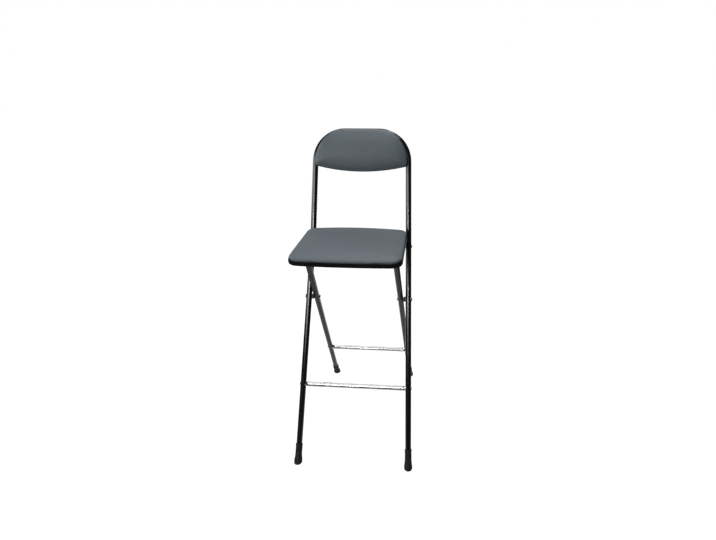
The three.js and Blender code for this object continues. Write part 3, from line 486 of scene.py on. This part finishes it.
# %% Both frames
SOLE = 0.009
HOOP_HEIGHT, HOOP_RADIUS, LEG_BEND = 1.072, 0.105, 0.220
BAR_BEND = 0.045


def leg_end(axis, top, side, lean):
    return axis(0, side) + leg_direction(axis, top, side) * (SOLE + TUBE_RADIUS * tangent(lean))


front_ends = [leg_end(front_axis, BEND_HEIGHT, side, FRONT_LEAN) for side in (-1, 1)]
front_path = rounded(
    [front_ends[0], front_axis(BEND_HEIGHT, -1), front_axis(HOOP_HEIGHT, -1),
     front_axis(HOOP_HEIGHT, 1), front_axis(BEND_HEIGHT, 1), front_ends[1]],
    [LEG_BEND, HOOP_RADIUS, HOOP_RADIUS, LEG_BEND])
front_tube = tube("front_tube", front_path)
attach(front_tube, "main_frame")
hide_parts("front_frame_tube")

rear_ends = [leg_end(rear_axis, BAR_HEIGHT, side, REAR_LEAN) for side in (-1, 1)]
rear_path = rounded(
    [rear_ends[0], rear_axis(BAR_HEIGHT, -1), rear_axis(BAR_HEIGHT, 1), rear_ends[1]],
    [BAR_BEND, BAR_BEND])
rear_tube = tube("rear_tube", rear_path)
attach(rear_tube, "rear_frame")
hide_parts("rear_frame_tube")

# %% [markdown]
# Each rail's ends are coped, cut to the curve of the leg they meet. That needs
# no Boolean: a point on the end ring slides along the rail until it is one tube
# radius from the leg's axis, which is the root of a quadratic.

# %% Coped rails
RAIL_RADIUS = 0.008


def coped_end(side, y, z, leg_point, leg_along):
    away = Vector((0, y, z)) - leg_point
    a = 1 - leg_along.x ** 2
    b = -2 * leg_along.x * away.dot(leg_along) + 2 * away.x
    c = away.length_squared - away.dot(leg_along) ** 2 - (TUBE_RADIUS + CLEARANCE) ** 2
    return (-b - side * math.sqrt(b * b - 4 * a * c)) / (2 * a)


def rail(name, axis, height, top, sides=48, spans=24):
    points, faces = [], []
    ends = [(axis(height, s), leg_direction(axis, top, s)) for s in (-1, 1)]
    for k in range(sides):
        angle = 2 * math.pi * k / sides
        y = ends[0][0].y + RAIL_RADIUS * math.cos(angle)
        z = ends[0][0].z + RAIL_RADIUS * math.sin(angle)
        left, right = (coped_end(s, y, z, *end) for s, end in zip((-1, 1), ends))
        points += [(left + (right - left) * i / spans, y, z) for i in range(spans + 1)]
    row = spans + 1
    for k in range(sides):
        a, b = k * row, (k + 1) % sides * row
        faces += [(a + i, b + i, b + i + 1, a + i + 1) for i in range(spans)]
    faces.append([k * row for k in range(sides)])
    faces.append([k * row + spans for k in reversed(range(sides))])
    made = mesh_object(name, points, (), faces)
    made.data.materials.append(CHROME)
    made.data.polygons.foreach_set("use_smooth", [len(p.vertices) == 4 for p in made.data.polygons])
    print(name, "length", round(points[spans][0] - points[0][0], 4))
    return made

# %% Both rails
FRONT_RAIL_HEIGHT, BACK_RAIL_HEIGHT = 0.246, 0.200

front_rail = rail("front_rail", front_axis, FRONT_RAIL_HEIGHT, BEND_HEIGHT)
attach(front_rail, "main_frame")
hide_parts("foot_rail")
back_rail = rail("back_rail", rear_axis, BACK_RAIL_HEIGHT, BAR_HEIGHT)
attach(back_rail, "rear_frame")
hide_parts("rear_rail")

# %% [markdown]
# The rubber feet flare towards the floor and stand flat although the legs lean.
# Each is turned round its leg's axis. Near the sole the rings tilt, step by
# step, until the last one lies on the floor, with a soft edge all round. A small
# bead stiffens the collar, and the bore inside takes the tube's end.

# %% Rubber feet
FOOT_RADIUS, FOOT_LENGTH, RUBBER_WALL = 0.014, 0.066, 0.0013
BORE, BORE_FLOOR = TUBE_RADIUS + CLEARANCE, 0.0170
COLLAR = BORE + RUBBER_WALL
FOOT_PROFILE = (
    # radius, height along the leg, share of the floor's slope
    (0.0, 0.0, 1.0),
    (FOOT_RADIUS - 0.0050, 0.0, 1.0),
    (FOOT_RADIUS - 0.0022, 0.0001, 1.0),
    (FOOT_RADIUS - 0.0008, 0.0009, 1.0),
    (FOOT_RADIUS, 0.0026, 0.98),
    (FOOT_RADIUS, 0.0060, 0.85),
    (FOOT_RADIUS - 0.0002, 0.0110, 0.4),
    (FOOT_RADIUS - 0.0008, 0.0160, 0.0),
    (FOOT_RADIUS - 0.0015, 0.0200, 0.0),
    (COLLAR + 0.0004, 0.0250, 0.0),
    (COLLAR, 0.0320, 0.0),
    (COLLAR, 0.0590, 0.0),
    (COLLAR + 0.0005, 0.0600, 0.0),
    (COLLAR + 0.0005, 0.0640, 0.0),
    (COLLAR, 0.0654, 0.0),
    (COLLAR - 0.0006, FOOT_LENGTH, 0.0),
    (BORE, FOOT_LENGTH - 0.0003, 0.0),
    (BORE, BORE_FLOOR, 0.0),
    (0.0, BORE_FLOOR, 0.0),
)


def foot(name, floor_point, along, sides=48):
    inward = along.cross(Vector((1, 0, 0))).normalized()
    sideways = inward.cross(along)
    points, faces = [], []
    for radius, height, slope in FOOT_PROFILE:
        for k in range(sides):
            angle = 2 * math.pi * k / sides
            out = (sideways * math.cos(angle) + inward * math.sin(angle)) * radius
            points.append(floor_point + out + along * (height - slope * out.z / along.z))
    for i in range(len(FOOT_PROFILE) - 1):
        for k in range(sides):
            j = (k + 1) % sides
            faces.append((i * sides + k, i * sides + j, (i + 1) * sides + j, (i + 1) * sides + k))
    made = mesh_object(name, points, (), faces)
    shell = bmesh.new()
    shell.from_mesh(made.data)
    bmesh.ops.remove_doubles(shell, verts=shell.verts, dist=1e-6)
    bmesh.ops.recalc_face_normals(shell, faces=shell.faces)
    shell.to_mesh(made.data)
    made.data.shade_smooth()
    made.data.materials.append(RUBBER)
    return made

# %% All four feet
SIDES = ("left", "right")

for body, part, axis, top in (("main_frame", "front", front_axis, BEND_HEIGHT),
                              ("rear_frame", "rear", rear_axis, BAR_HEIGHT)):
    for side, label in zip((-1, 1), SIDES):
        along = leg_direction(axis, top, side)
        ferrule = foot(f"{part}_ferrule_{label}", axis(0, side), along)
        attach(ferrule, body)
        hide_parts(f"{part}_foot_{label}")
        print(ferrule.name, "lowest", round(min(v.co.z for v in ferrule.data.vertices), 5))

# %% [markdown]
# Every rivet, pin and screw is a shank with a turned head, repeated in many
# sizes. So the points mesh has one edge for each shank, and its head points
# carry a direction. The tree sweeps the shanks, makes one head from a sphere,
# flat underneath, cuts a cross recess into it for a screw, and stands copies
# on the head points.

# %% The head of a fastener
CROSS_LENGTH, CROSS_WIDTH = 1.15, 0.26


def domed_head(g):
    width, height, boxiness = (g.given[n] for n in ("Width", "Height", "Boxiness"))
    ball = g.add("GeometryNodeMeshUVSphere", {}, {"Segments": 32, "Rings": 20, "Radius": 1.0})
    point = g.add("GeometryNodeInputPosition")
    x, y, z = (g.add("ShaderNodeSeparateXYZ", {}, {0: point}, axis) for axis in "XYZ")
    rise = g.add("ShaderNodeMath", {"operation": "MAXIMUM"}, {0: z, 1: 0.0})
    reach = (x * x + y * y + 1e-9) ** 0.5
    full = reach ** boxiness / reach
    tall = rise ** (boxiness * 0.5 + 0.5)
    spot = g.add("ShaderNodeCombineXYZ", {}, {
        0: x * full * width, 1: y * full * width, 2: tall * height})
    return g.add("GeometryNodeSetPosition", {}, {"Geometry": ball, "Position": spot})


def with_cross(g, dome):
    height = g.given["Height"]
    long, thin = g.given["Width"] * CROSS_LENGTH, g.given["Width"] * CROSS_WIDTH
    crossed = dome
    for a, b in ((long, thin), (thin, long)):
        size = g.add("ShaderNodeCombineXYZ", {}, {0: a, 1: b, 2: height})
        raised = g.add("GeometryNodeTransform", {}, {
            "Geometry": g.add("GeometryNodeMeshCube", {}, {"Size": size}),
            "Translation": g.add("ShaderNodeCombineXYZ", {}, {2: height})})
        crossed = g.add("GeometryNodeMeshBoolean", {"operation": "DIFFERENCE"}, {
            "Mesh 1": crossed, "Mesh 2": raised})
    return g.add("GeometryNodeSwitch", {"input_type": "GEOMETRY"}, {
        "Switch": g.given["Recess"], "False": dome, "True": crossed})

# %% The tree that makes fasteners
def fastener_tree():
    g = new_tree("fasteners", Neck="Float", Width="Float", Height="Float", Boxiness="Float",
                 Recess="Bool", Finish="Material")
    ring = g.add("GeometryNodeCurvePrimitiveCircle", {}, {
        "Resolution": 24, "Radius": g.given["Neck"]})
    path = g.add("GeometryNodeMeshToCurve", {}, {0: g.given["Geometry"]})
    shanks = g.add("GeometryNodeCurveToMesh", {}, {
        "Curve": path, "Profile Curve": ring, "Fill Caps": True})
    facing, headed = (
        g.add("GeometryNodeInputNamedAttribute", {"data_type": kind}, {0: label})
        for label, kind in (("facing", "FLOAT_VECTOR"), ("headed", "BOOLEAN")))
    turned = g.add("FunctionNodeAlignRotationToVector", {"axis": "Z"}, {"Vector": facing})
    heads = g.add("GeometryNodeInstanceOnPoints", {}, {
        "Points": g.given["Geometry"], "Selection": headed,
        "Instance": with_cross(g, domed_head(g)), "Rotation": turned})
    both = g.add("GeometryNodeJoinGeometry")
    for part in (shanks, heads):
        g.join(part, both.socket.node.inputs[0])
    whole = g.add("GeometryNodeRealizeInstances", {}, {0: both})
    return end_tree(g, smooth_but(g, whole, sharpest=0.7))


FASTENER_TREE = fastener_tree()

# %% [markdown]
# Each fastener stands where the model's own node is. Its shank and heads take
# that node's reach along its axis, so a head ends where the model's does. The
# folded rear legs pass close to the seat pins' inner heads, so the pins are a
# little smaller and set lower than the rivets.

# %% Set fasteners on the model's own nodes
def ends_of(node, way):
    across = way.orthogonal().normalized()
    turned = Matrix((across, way.cross(across), way))
    spots = np.array([turned @ v.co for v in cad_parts[node].data.vertices])
    low, high = Vector(spots.min(axis=0)), Vector(spots.max(axis=0))
    centre = (low + high) / 2
    return [turned.transposed() @ Vector((centre.x, centre.y, end)) for end in (high.z, low.z)]


def fasteners(name, body, nodes, slot, finish, axis, neck, width, height,
              heads=1, boxy=1.0, recess=False, low=0.0):
    points, edges, facing, headed = [], [], [], []
    for node in nodes:
        way = axis(node)
        top, bottom = ends_of(node, way)
        edges.append((len(points), len(points) + 1))
        points += [top - way * (height + low), bottom + way * (height + low) * (heads - 1)]
        facing += [*way, *(-way)]
        headed += [True, heads == 2]
    source = mesh_object(name + "_points", points, edges)
    for label, kind, field, values in (("facing", "FLOAT_VECTOR", "vector", facing),
                                       ("headed", "BOOLEAN", "value", headed)):
        source.data.attributes.new(label, kind, "POINT").data.foreach_set(field, values)
    made = grow(name, source, FASTENER_TREE, Neck=neck, Width=width, Height=height,
                Boxiness=boxy, Recess=recess, Finish=finish)
    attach(made, body)
    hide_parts(*nodes)

# %% All rivets, pins and screws
def outwards(node):
    return Vector((-1 if place_of(node).x < 0 else 1, 0, 0))


def downwards(node):
    return Vector((0, 0, -1))


def behind_back(node):
    return Vector((0, math.cos(math.radians(BACK_LEAN)), -math.sin(math.radians(BACK_LEAN))))


RIVET = {"neck": 0.004, "width": 0.0075, "height": 0.003, "heads": 2}
PIN = {"neck": 0.004, "width": 0.0071, "height": 0.0028, "heads": 2, "low": 0.0002}
SMALL_RIVET = {"neck": 0.0025, "width": 0.0046, "height": 0.0022, "heads": 2}
SCREW = {"neck": 0.0025, "width": 0.0046, "height": 0.0022, "boxy": 0.55, "recess": True}
SEAT_PLACES = [f"{s}_{e}" for s in SIDES for e in ("front", "rear")]

fasteners("scissor_rivets", "main_frame", [f"scissor_rivet_{s}" for s in SIDES],
          "chrome", CHROME, outwards, **RIVET)
fasteners("seat_pins", "main_frame", [f"seat_pin_{s}" for s in SIDES],
          "chrome", CHROME, outwards, **PIN)
fasteners("front_rail_screws", "main_frame", [f"foot_rail_screw_{s}" for s in SIDES],
          "chrome", CHROME, outwards, **SCREW)
fasteners("back_rail_screws", "rear_frame", [f"rear_rail_screw_{s}" for s in SIDES],
          "chrome", CHROME, outwards, **SCREW)
fasteners("back_screws", "main_frame", [f"back_screw_{s}" for s in ("left", "middle", "right")],
          "dark_steel", STEEL, behind_back, **SCREW)
fasteners("tab_screws", "main_frame", [f"back_tab_screw_{s}" for s in SIDES],
          "dark_steel", STEEL, behind_back, **SCREW)
fasteners("seat_screws", "seat", [f"seat_board_screw_{p}" for p in SEAT_PLACES],
          "dark_steel", STEEL, downwards, **SCREW)
fasteners("seat_rivets", "seat",
          [f"seat_{k}_rivet_{p}" for k in ("saddle", "hook") for p in SEAT_PLACES],
          "dark_steel", STEEL, downwards, **SMALL_RIVET)

# %% [markdown]
# The pads are vinyl stretched over foam. A subdivided box would look moulded,
# so each pad is blown up as cloth. It starts from the model's own pad, drawn in
# a little along its sides and remeshed at 4.5 mm. Stretched vinyl presses the
# foam's edge round, so the top then takes a wide shoulder: its height follows
# the distance from the pad's outline as a quarter of an ellipse does.

# %% Round the shoulders of a pad
SHORTEST_EDGE = 1e-5
LEAST_HEIGHT = 1e-4


def inside_by(points, outline):
    edges = np.roll(outline, -1, axis=0) - outline
    length = np.linalg.norm(edges, axis=1)
    real = length > SHORTEST_EDGE
    along = (edges / np.maximum(length, SHORTEST_EDGE)[:, None])[real]
    inward = np.stack((-along[:, 1], along[:, 0]), axis=1)
    away = np.einsum("pek,ek->pe", points[:, None, :] - outline[real][None], inward)
    return np.clip(away.min(axis=1), 0, None)


def round_shoulders(mesh, low, side, shoulder, rise, crown):
    points = np.array([v.co for v in mesh.vertices])
    hull = convex_hull_2d([Vector(p[:2]) for p in points])
    distance = inside_by(points[:, :2], points[hull, :2])
    surface = BVHTree.FromPolygons(points.tolist(), [p.vertices[:] for p in mesh.polygons])
    tops = [surface.ray_cast(Vector((x, y, 1)), Vector((0, 0, -1)))[0] for x, y, _ in points]
    old = np.array([top.z if top else p[2] for top, p in zip(tops, points)]) - low.z
    reach = np.clip(distance / shoulder, 0, 1)
    middle = np.clip(distance / distance.max(), 0, 1)
    new = side + rise * np.sqrt(reach * (2 - reach)) + crown * middle * (2 - middle)
    points[:, 2] = low.z + (points[:, 2] - low.z) * new / np.maximum(old, LEAST_HEIGHT)
    mesh.vertices.foreach_set("co", points.ravel())
    print("shoulder", round(shoulder * 1000), "mm wide, height",
          round(float(new.max()) * 1000, 1), "mm")

# %% The shape a pad starts from
VOXEL = 0.0045
FULL_PULL_HEIGHT = 0.006


def start_shape(name, node, frame_of, draw_in, **profile):
    shell = bmesh.new()
    shell.from_mesh(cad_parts[node].data)
    bmesh.ops.remove_doubles(shell, verts=shell.verts, dist=1e-5)
    for v in shell.verts:
        v.co = frame_of.inverted() @ v.co
    low = Vector(min(v.co[i] for v in shell.verts) for i in range(3))
    high = Vector(max(v.co[i] for v in shell.verts) for i in range(3))
    middle, half = (low + high) / 2, (high - low) / 2
    for v in shell.verts:
        share = Vector(((v.co.x - middle.x) / half.x, (v.co.y - middle.y) / half.y, 0))
        pull = draw_in * min(1, (v.co.z - low.z) / FULL_PULL_HEIGHT)
        v.co.x -= share.x * pull * (1 - share.y ** 2)
        v.co.y -= share.y * pull * (1 - share.x ** 2)
    mesh = bpy.data.meshes.new(name)
    shell.to_mesh(mesh)
    made = new_object(name, mesh)
    remesh = made.modifiers.new("even_faces", "REMESH")
    remesh.mode, remesh.voxel_size, remesh.use_smooth_shade = "VOXEL", VOXEL, True
    even = worked_out(made)
    print(name, "starts from", len(even.vertices), "points, height", round(high.z - low.z, 4))
    round_shoulders(even, low, **profile)
    return new_object(name, even), low, high

# %% [markdown]
# Then the underside is pinned and pressure swells the pad for 20 frames. No
# point may move more than its cap, which is nothing at the base and most at
# the top.

# %% Blow up a pad
HELD_HEIGHT, LOOSENING = 0.004, 0.014


def swell(pad, free, pressure, frames):
    group = pad.vertex_groups.new(name="held")
    for i, share in enumerate(free):
        group.add([i], 1 - float(share), "REPLACE")
    cloth = pad.modifiers.new("cloth", "CLOTH")
    cloth.settings.use_pressure = True
    cloth.settings.uniform_pressure_force = pressure
    cloth.settings.vertex_group_mass = "held"
    cloth.settings.effector_weights.gravity = 0
    cloth.point_cache.frame_start, cloth.point_cache.frame_end = 1, frames
    scene = bpy.context.scene
    for step in range(1, frames + 1):
        scene.frame_set(step)
    blown = pad.evaluated_get(bpy.context.evaluated_depsgraph_get())
    after = np.array([v.co for v in blown.data.vertices])
    pad.modifiers.remove(cloth)
    pad.vertex_groups.clear()
    scene.frame_set(1)
    return after


def blow_up(pad, low, cap, pressure=4.0, frames=20):
    before = np.array([v.co for v in pad.data.vertices])
    height = before[:, 2] - low.z
    free = np.clip((height - HELD_HEIGHT) / LOOSENING, 0, 1)
    moved = swell(pad, free, pressure, frames) - before
    length = np.linalg.norm(moved, axis=1)
    limit = cap * free
    moved *= (limit / np.maximum(length, limit + 1e-9))[:, None]
    pad.data.vertices.foreach_set("co", (before + moved).ravel())
    print(pad.name, "swelled by", round(float(length.max()) * 1000, 1), "mm, kept",
          round(float(np.linalg.norm(moved, axis=1).max()) * 1000, 1))

# %% [markdown]
# Where the vinyl is drawn round a corner and stapled under the board, its
# lower side gathers into small folds. They are geometry, not bump: after one
# subdivision the points near each corner move in and out round the corner's
# centre, most at the base and not at all on the top. A corner's inner part, its
# core, stays still, and so do the straight sides next to the corner.

# %% Gather the vinyl at the corners
FOLD_SIZE = 0.0012
FOLD_START, FOLD_TOP = 0.003, 0.016
CORE, RIM = 0.6, 0.4
TURNED, TURN_GAIN = 0.55, 2.2
NEAREST = 1e-6


def gather(points, height, corners, depth):
    for x, y, radius in corners:
        away = points[:, :2] - (x, y)
        far = np.linalg.norm(away, axis=1)
        safe = np.maximum(far, NEAREST)
        angle = np.arctan2(away[:, 1], away[:, 0])
        outer = np.clip((far - radius * CORE) / (radius * RIM), 0, 1)
        facing = np.clip((away @ np.sign((x, y))) / safe - TURNED, 0, 1) * TURN_GAIN
        low_down = np.clip(1 - height / FOLD_TOP, 0, 1) * np.clip(height / FOLD_START, 0, 1)
        waves = np.sin(angle * radius / FOLD_SIZE)
        fold = waves * depth * outer * np.minimum(facing, 1) * low_down
        points[:, :2] += away / safe[:, None] * fold[:, None]


def finish_pad(pad, frame_of, low, corners, depth, body, node):
    pad.modifiers.new("smooth", "SUBSURF").levels = 1
    fine = worked_out(pad)
    points = np.array([v.co for v in fine.vertices])
    gather(points, points[:, 2] - low.z, corners, depth)
    placed = [frame_of @ Vector(p) for p in points]
    fine.vertices.foreach_set("co", np.array(placed).ravel())
    fine.shade_smooth()
    fine.materials.clear()
    fine.materials.append(VINYL)
    made = new_object(node.replace("cushion", "pad"), fine)
    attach(made, body)
    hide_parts(node)
    print(made.name, len(fine.polygons), "faces")

# %% [markdown]
# The seat pad is a rounded trapezoid, a little wider in front, whose front and
# rear edges bow outwards. Its sides stand 7.5 mm before the shoulder begins, and
# the middle is nearly level, as foam becomes in use.

# %% Seat pad
SWELL_CAP = 0.003
FRONT_CORNER, REAR_CORNER = 0.038, 0.033
FRONT_BOW, REAR_BOW = 0.004, 0.013
SEAT_FOLDS = 0.0004

seat_frame = Matrix.Identity(4)
seat_start, seat_low, seat_high = start_shape(
    "seat_start", "seat_cushion", seat_frame, draw_in=0.0018,
    side=0.0075, shoulder=0.030, rise=0.009, crown=0.003)
blow_up(seat_start, seat_low, SWELL_CAP)
seat_half = (seat_high.x - seat_low.x) / 2
seat_corners = [
    (side * (seat_half - r), y, r)
    for side in (-1, 1)
    for y, r in ((seat_low.y + FRONT_BOW + FRONT_CORNER, FRONT_CORNER),
                 (seat_high.y - REAR_BOW - REAR_CORNER, REAR_CORNER))]
finish_pad(seat_start, seat_frame, seat_low, seat_corners, SEAT_FOLDS, "seat", "seat_cushion")

# %% [markdown]
# The back pad fills the top of the hoop. It is shaped lying flat, with the
# hoop's top axis as its origin, and stood up at the end. Its edge is thin, 2 mm
# before the shoulder, and its middle swells 15 mm beyond the shoulder.

# %% Back pad
BACK_DEPTH = 0.124
UPPER_CORNER, LOWER_CORNER = 0.09, 0.012
BACK_FOLDS = 0.0003

back_turn = Matrix.Rotation(math.pi / 2 - math.radians(BACK_LEAN), 4, "X")
back_frame = Matrix.Translation(front_axis(HOOP_HEIGHT, 0)) @ back_turn
back_start, back_low, back_high = start_shape(
    "back_start", "back_cushion", back_frame, draw_in=0.0012,
    side=0.002, shoulder=0.026, rise=0.009, crown=0.015)
blow_up(back_start, back_low, SWELL_CAP)
back_half = (back_high.x - back_low.x) / 2
back_corners = [
    (side * (back_half - r), y, r)
    for y, r in ((-BACK_DEPTH + LOWER_CORNER, LOWER_CORNER), (-HOOP_RADIUS, UPPER_CORNER))
    for side in (-1, 1)]
finish_pad(back_start, back_frame, back_low, back_corners, BACK_FOLDS,
           "main_frame", "back_cushion")

# %% [markdown]
# The rest of the model's own pieces have the right shape as they are. Each only
# gets its finish in place of the plain colour it came with.

# %% Finishes for the model's own pieces
in_pairs = {
    "seat_saddle": BLACK, "seat_hook": BLACK, "back_tab": BLACK,
    "scissor_spacer": NYLON, "seat_pin_sleeve": NYLON,
    "foot_rail_plug": STEEL, "rear_rail_plug": STEEL,
}
finish_of = {"seat_tray": BLACK, "seat_board": BOARD, "back_board": BOARD}
for part, finish in in_pairs.items():
    finish_of.update({f"{part}_{side}": finish for side in SIDES})
for node, finish in finish_of.items():
    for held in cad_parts[node].material_slots:
        held.material = finish
print(len(finish_of), "pieces of the model have their finish")

# %% [markdown]
# The photograph has a plain white ground with hardly a shadow. The floor is a
# white card. The camera sees most of it as plain white, so that its shadow
# stays but is pale. Reflections see the room dim, since in the photograph the
# black uprights mirror little but the lamps. Two parts of the floor are
# mirrored brighter: a sheet under the stool, which makes the rear legs grey,
# and a sweep behind it, which whitens the upper edge of the chrome rails. A ramp
# reads values from 0 to 1, so a patch's width is set on x squared, in square
# metres, and its depth on half of y plus a half.

# %% What the floor shows
def kinds_of_ray(graph):
    path = graph.add("ShaderNodeLightPath").socket.node
    camera_ray, glossy_ray, through_ray = (
        Wire(graph, pick(path.outputs, name))
        for name in ("Is Camera Ray", "Is Glossy Ray", "Is Transmission Ray"))
    return camera_ray + through_ray, glossy_ray


def patch(card, sides, *fore_and_aft):
    x, y = (card.add("ShaderNodeSeparateXYZ", {}, {0: card.place}, axis) for axis in "XY")
    return card.ramp(x * x, *sides) * card.ramp(y * 0.5 + 0.5, *fore_and_aft)

# %% Floor
FLOOR_REACH, FLOOR_HEIGHT = 9, -0.0004
FLOOR_WHITE = 1.62
FLOOR_SHARE, MIRRORED_SHARE = 0.62, 0.9
SHEET_MIRRORED, SWEEP_MIRRORED, ROOM_MIRRORED = 0.28, 0.80, 0.025

card = Finish("floor_card", Roughness=0.9, Specular_IOR_Level=0.0)
card.wear(card.between(card.noise(3, 2.0), (0.22, 0.22, 0.22), (0.24, 0.24, 0.24)))
seen, glossy_ray = kinds_of_ray(card)
sheet = patch(card, ((0.20, 1), (0.40, 0)), (0.20, 0), (0.30, 1))
sweep = patch(card, ((0.06, 1), (0.16, 0)), (0.62, 0), (0.70, 1), (0.95, 1), (1.0, 0))
mirrored = sheet * SHEET_MIRRORED + sweep * SWEEP_MIRRORED + ROOM_MIRRORED
glow = card.add("ShaderNodeEmission", {}, {
    "Color": seen + glossy_ray * mirrored, "Strength": FLOOR_WHITE})
both = card.add("ShaderNodeMixShader", {}, {0: seen * FLOOR_SHARE + glossy_ray * MIRRORED_SHARE})
card.join(Wire(card, card.shader.outputs[0]), both.socket.node.inputs[1])
card.join(glow, both.socket.node.inputs[2])
card.join(both, card.tree.nodes["Material Output"].inputs["Surface"])

corners = [(x * FLOOR_REACH, y * FLOOR_REACH, FLOOR_HEIGHT)
           for x, y in ((-1, -1), (1, -1), (1, 1), (-1, 1))]
floor = mesh_object("floor", corners, (), [(0, 1, 2, 3)])
floor.data.materials.append(card.material)
print("floor", 2 * FLOOR_REACH, "m wide")

# %% [markdown]
# The world is the room's even light. The camera sees it as plain white, it lights
# the stool weakly, and the tubes mirror it as nearly dark.

# %% World
WORLD_LIGHT, WORLD_MIRRORED = 0.22, 0.05

world = bpy.data.worlds.new("studio")
bpy.context.scene.world = world
world.use_nodes = True
air = Graph(world.node_tree)
seen, glossy_ray = kinds_of_ray(air)
sky = world.node_tree.nodes["Background"]
sky.inputs["Color"].default_value = (1, 1, 1, 1)
air.join(WORLD_LIGHT + seen * (1 - WORLD_LIGHT) + glossy_ray * (WORLD_MIRRORED - WORLD_LIGHT),
         sky.inputs["Strength"])
print("world", WORLD_LIGHT, "mirrored", WORLD_MIRRORED)

# %% [markdown]
# Gloss black shows its lamps more than its own colour, so each lamp is placed by
# the streak it draws. Three big lamps overhead light the pads. The key and the
# wing, long and low on the left, draw the pale streaks down the tubes. Two small
# ones make the bright glints, on the hoop and on the left upright. A card behind
# the stool gives the tubes and the pads' far edges a pale rim.

# %% Lamps
def lamp(name, place, target, width, height, power):
    data = bpy.data.lights.new(name, "AREA")
    data.shape, data.size, data.size_y, data.energy = "RECTANGLE", width, height, power
    made = bpy.data.objects.new(name, data)
    bpy.context.scene.collection.objects.link(made)
    made.location = place
    made.rotation_mode = "QUATERNION"
    made.rotation_quaternion = (Vector(target) - Vector(place)).to_track_quat("-Z", "Y")
    made.visible_camera = False
    print("lamp", name, power, "W")


for row in (
    # name, place, what it points at, width, height, watts
    ("top_soft", (0, 0.55, 3.0), (0, 0.2, 0.6), 2.4, 1.2, 13),
    ("high_back", (0, 1.6, 2.7), (0, -0.1, 0.5), 2.4, 0.9, 16),
    ("front_high", (0.1, -1.1, 3.1), (0, 0, 0.9), 1.6, 1.2, 27),
    ("key_left", (-1.20, -1.80, 1.45), (-0.2, 0, 0.95), 2.8, 0.8, 26),
    ("wing_left", (-2.13, 0.52, 1.15), (-0.2, 0, 0.9), 2.6, 0.9, 22),
    ("glint_back", (0.57, 0.97, 2.9), (0.1, 0.16, 1.07), 0.3, 0.3, 10),
    ("glint_front", (-0.32, -1.9, 1.336), (-0.17, 0.06, 0.78), 0.20, 0.12, 4),
    ("back_card", (0.2, 2.6, 1.2), (0, 0, 0.9), 4.0, 2.4, 11),
):
    lamp(*row)

# %% [markdown]
# Standard keeps each colour about as it is written.

# %% Colour management
bpy.context.scene.view_settings.view_transform = "Standard"
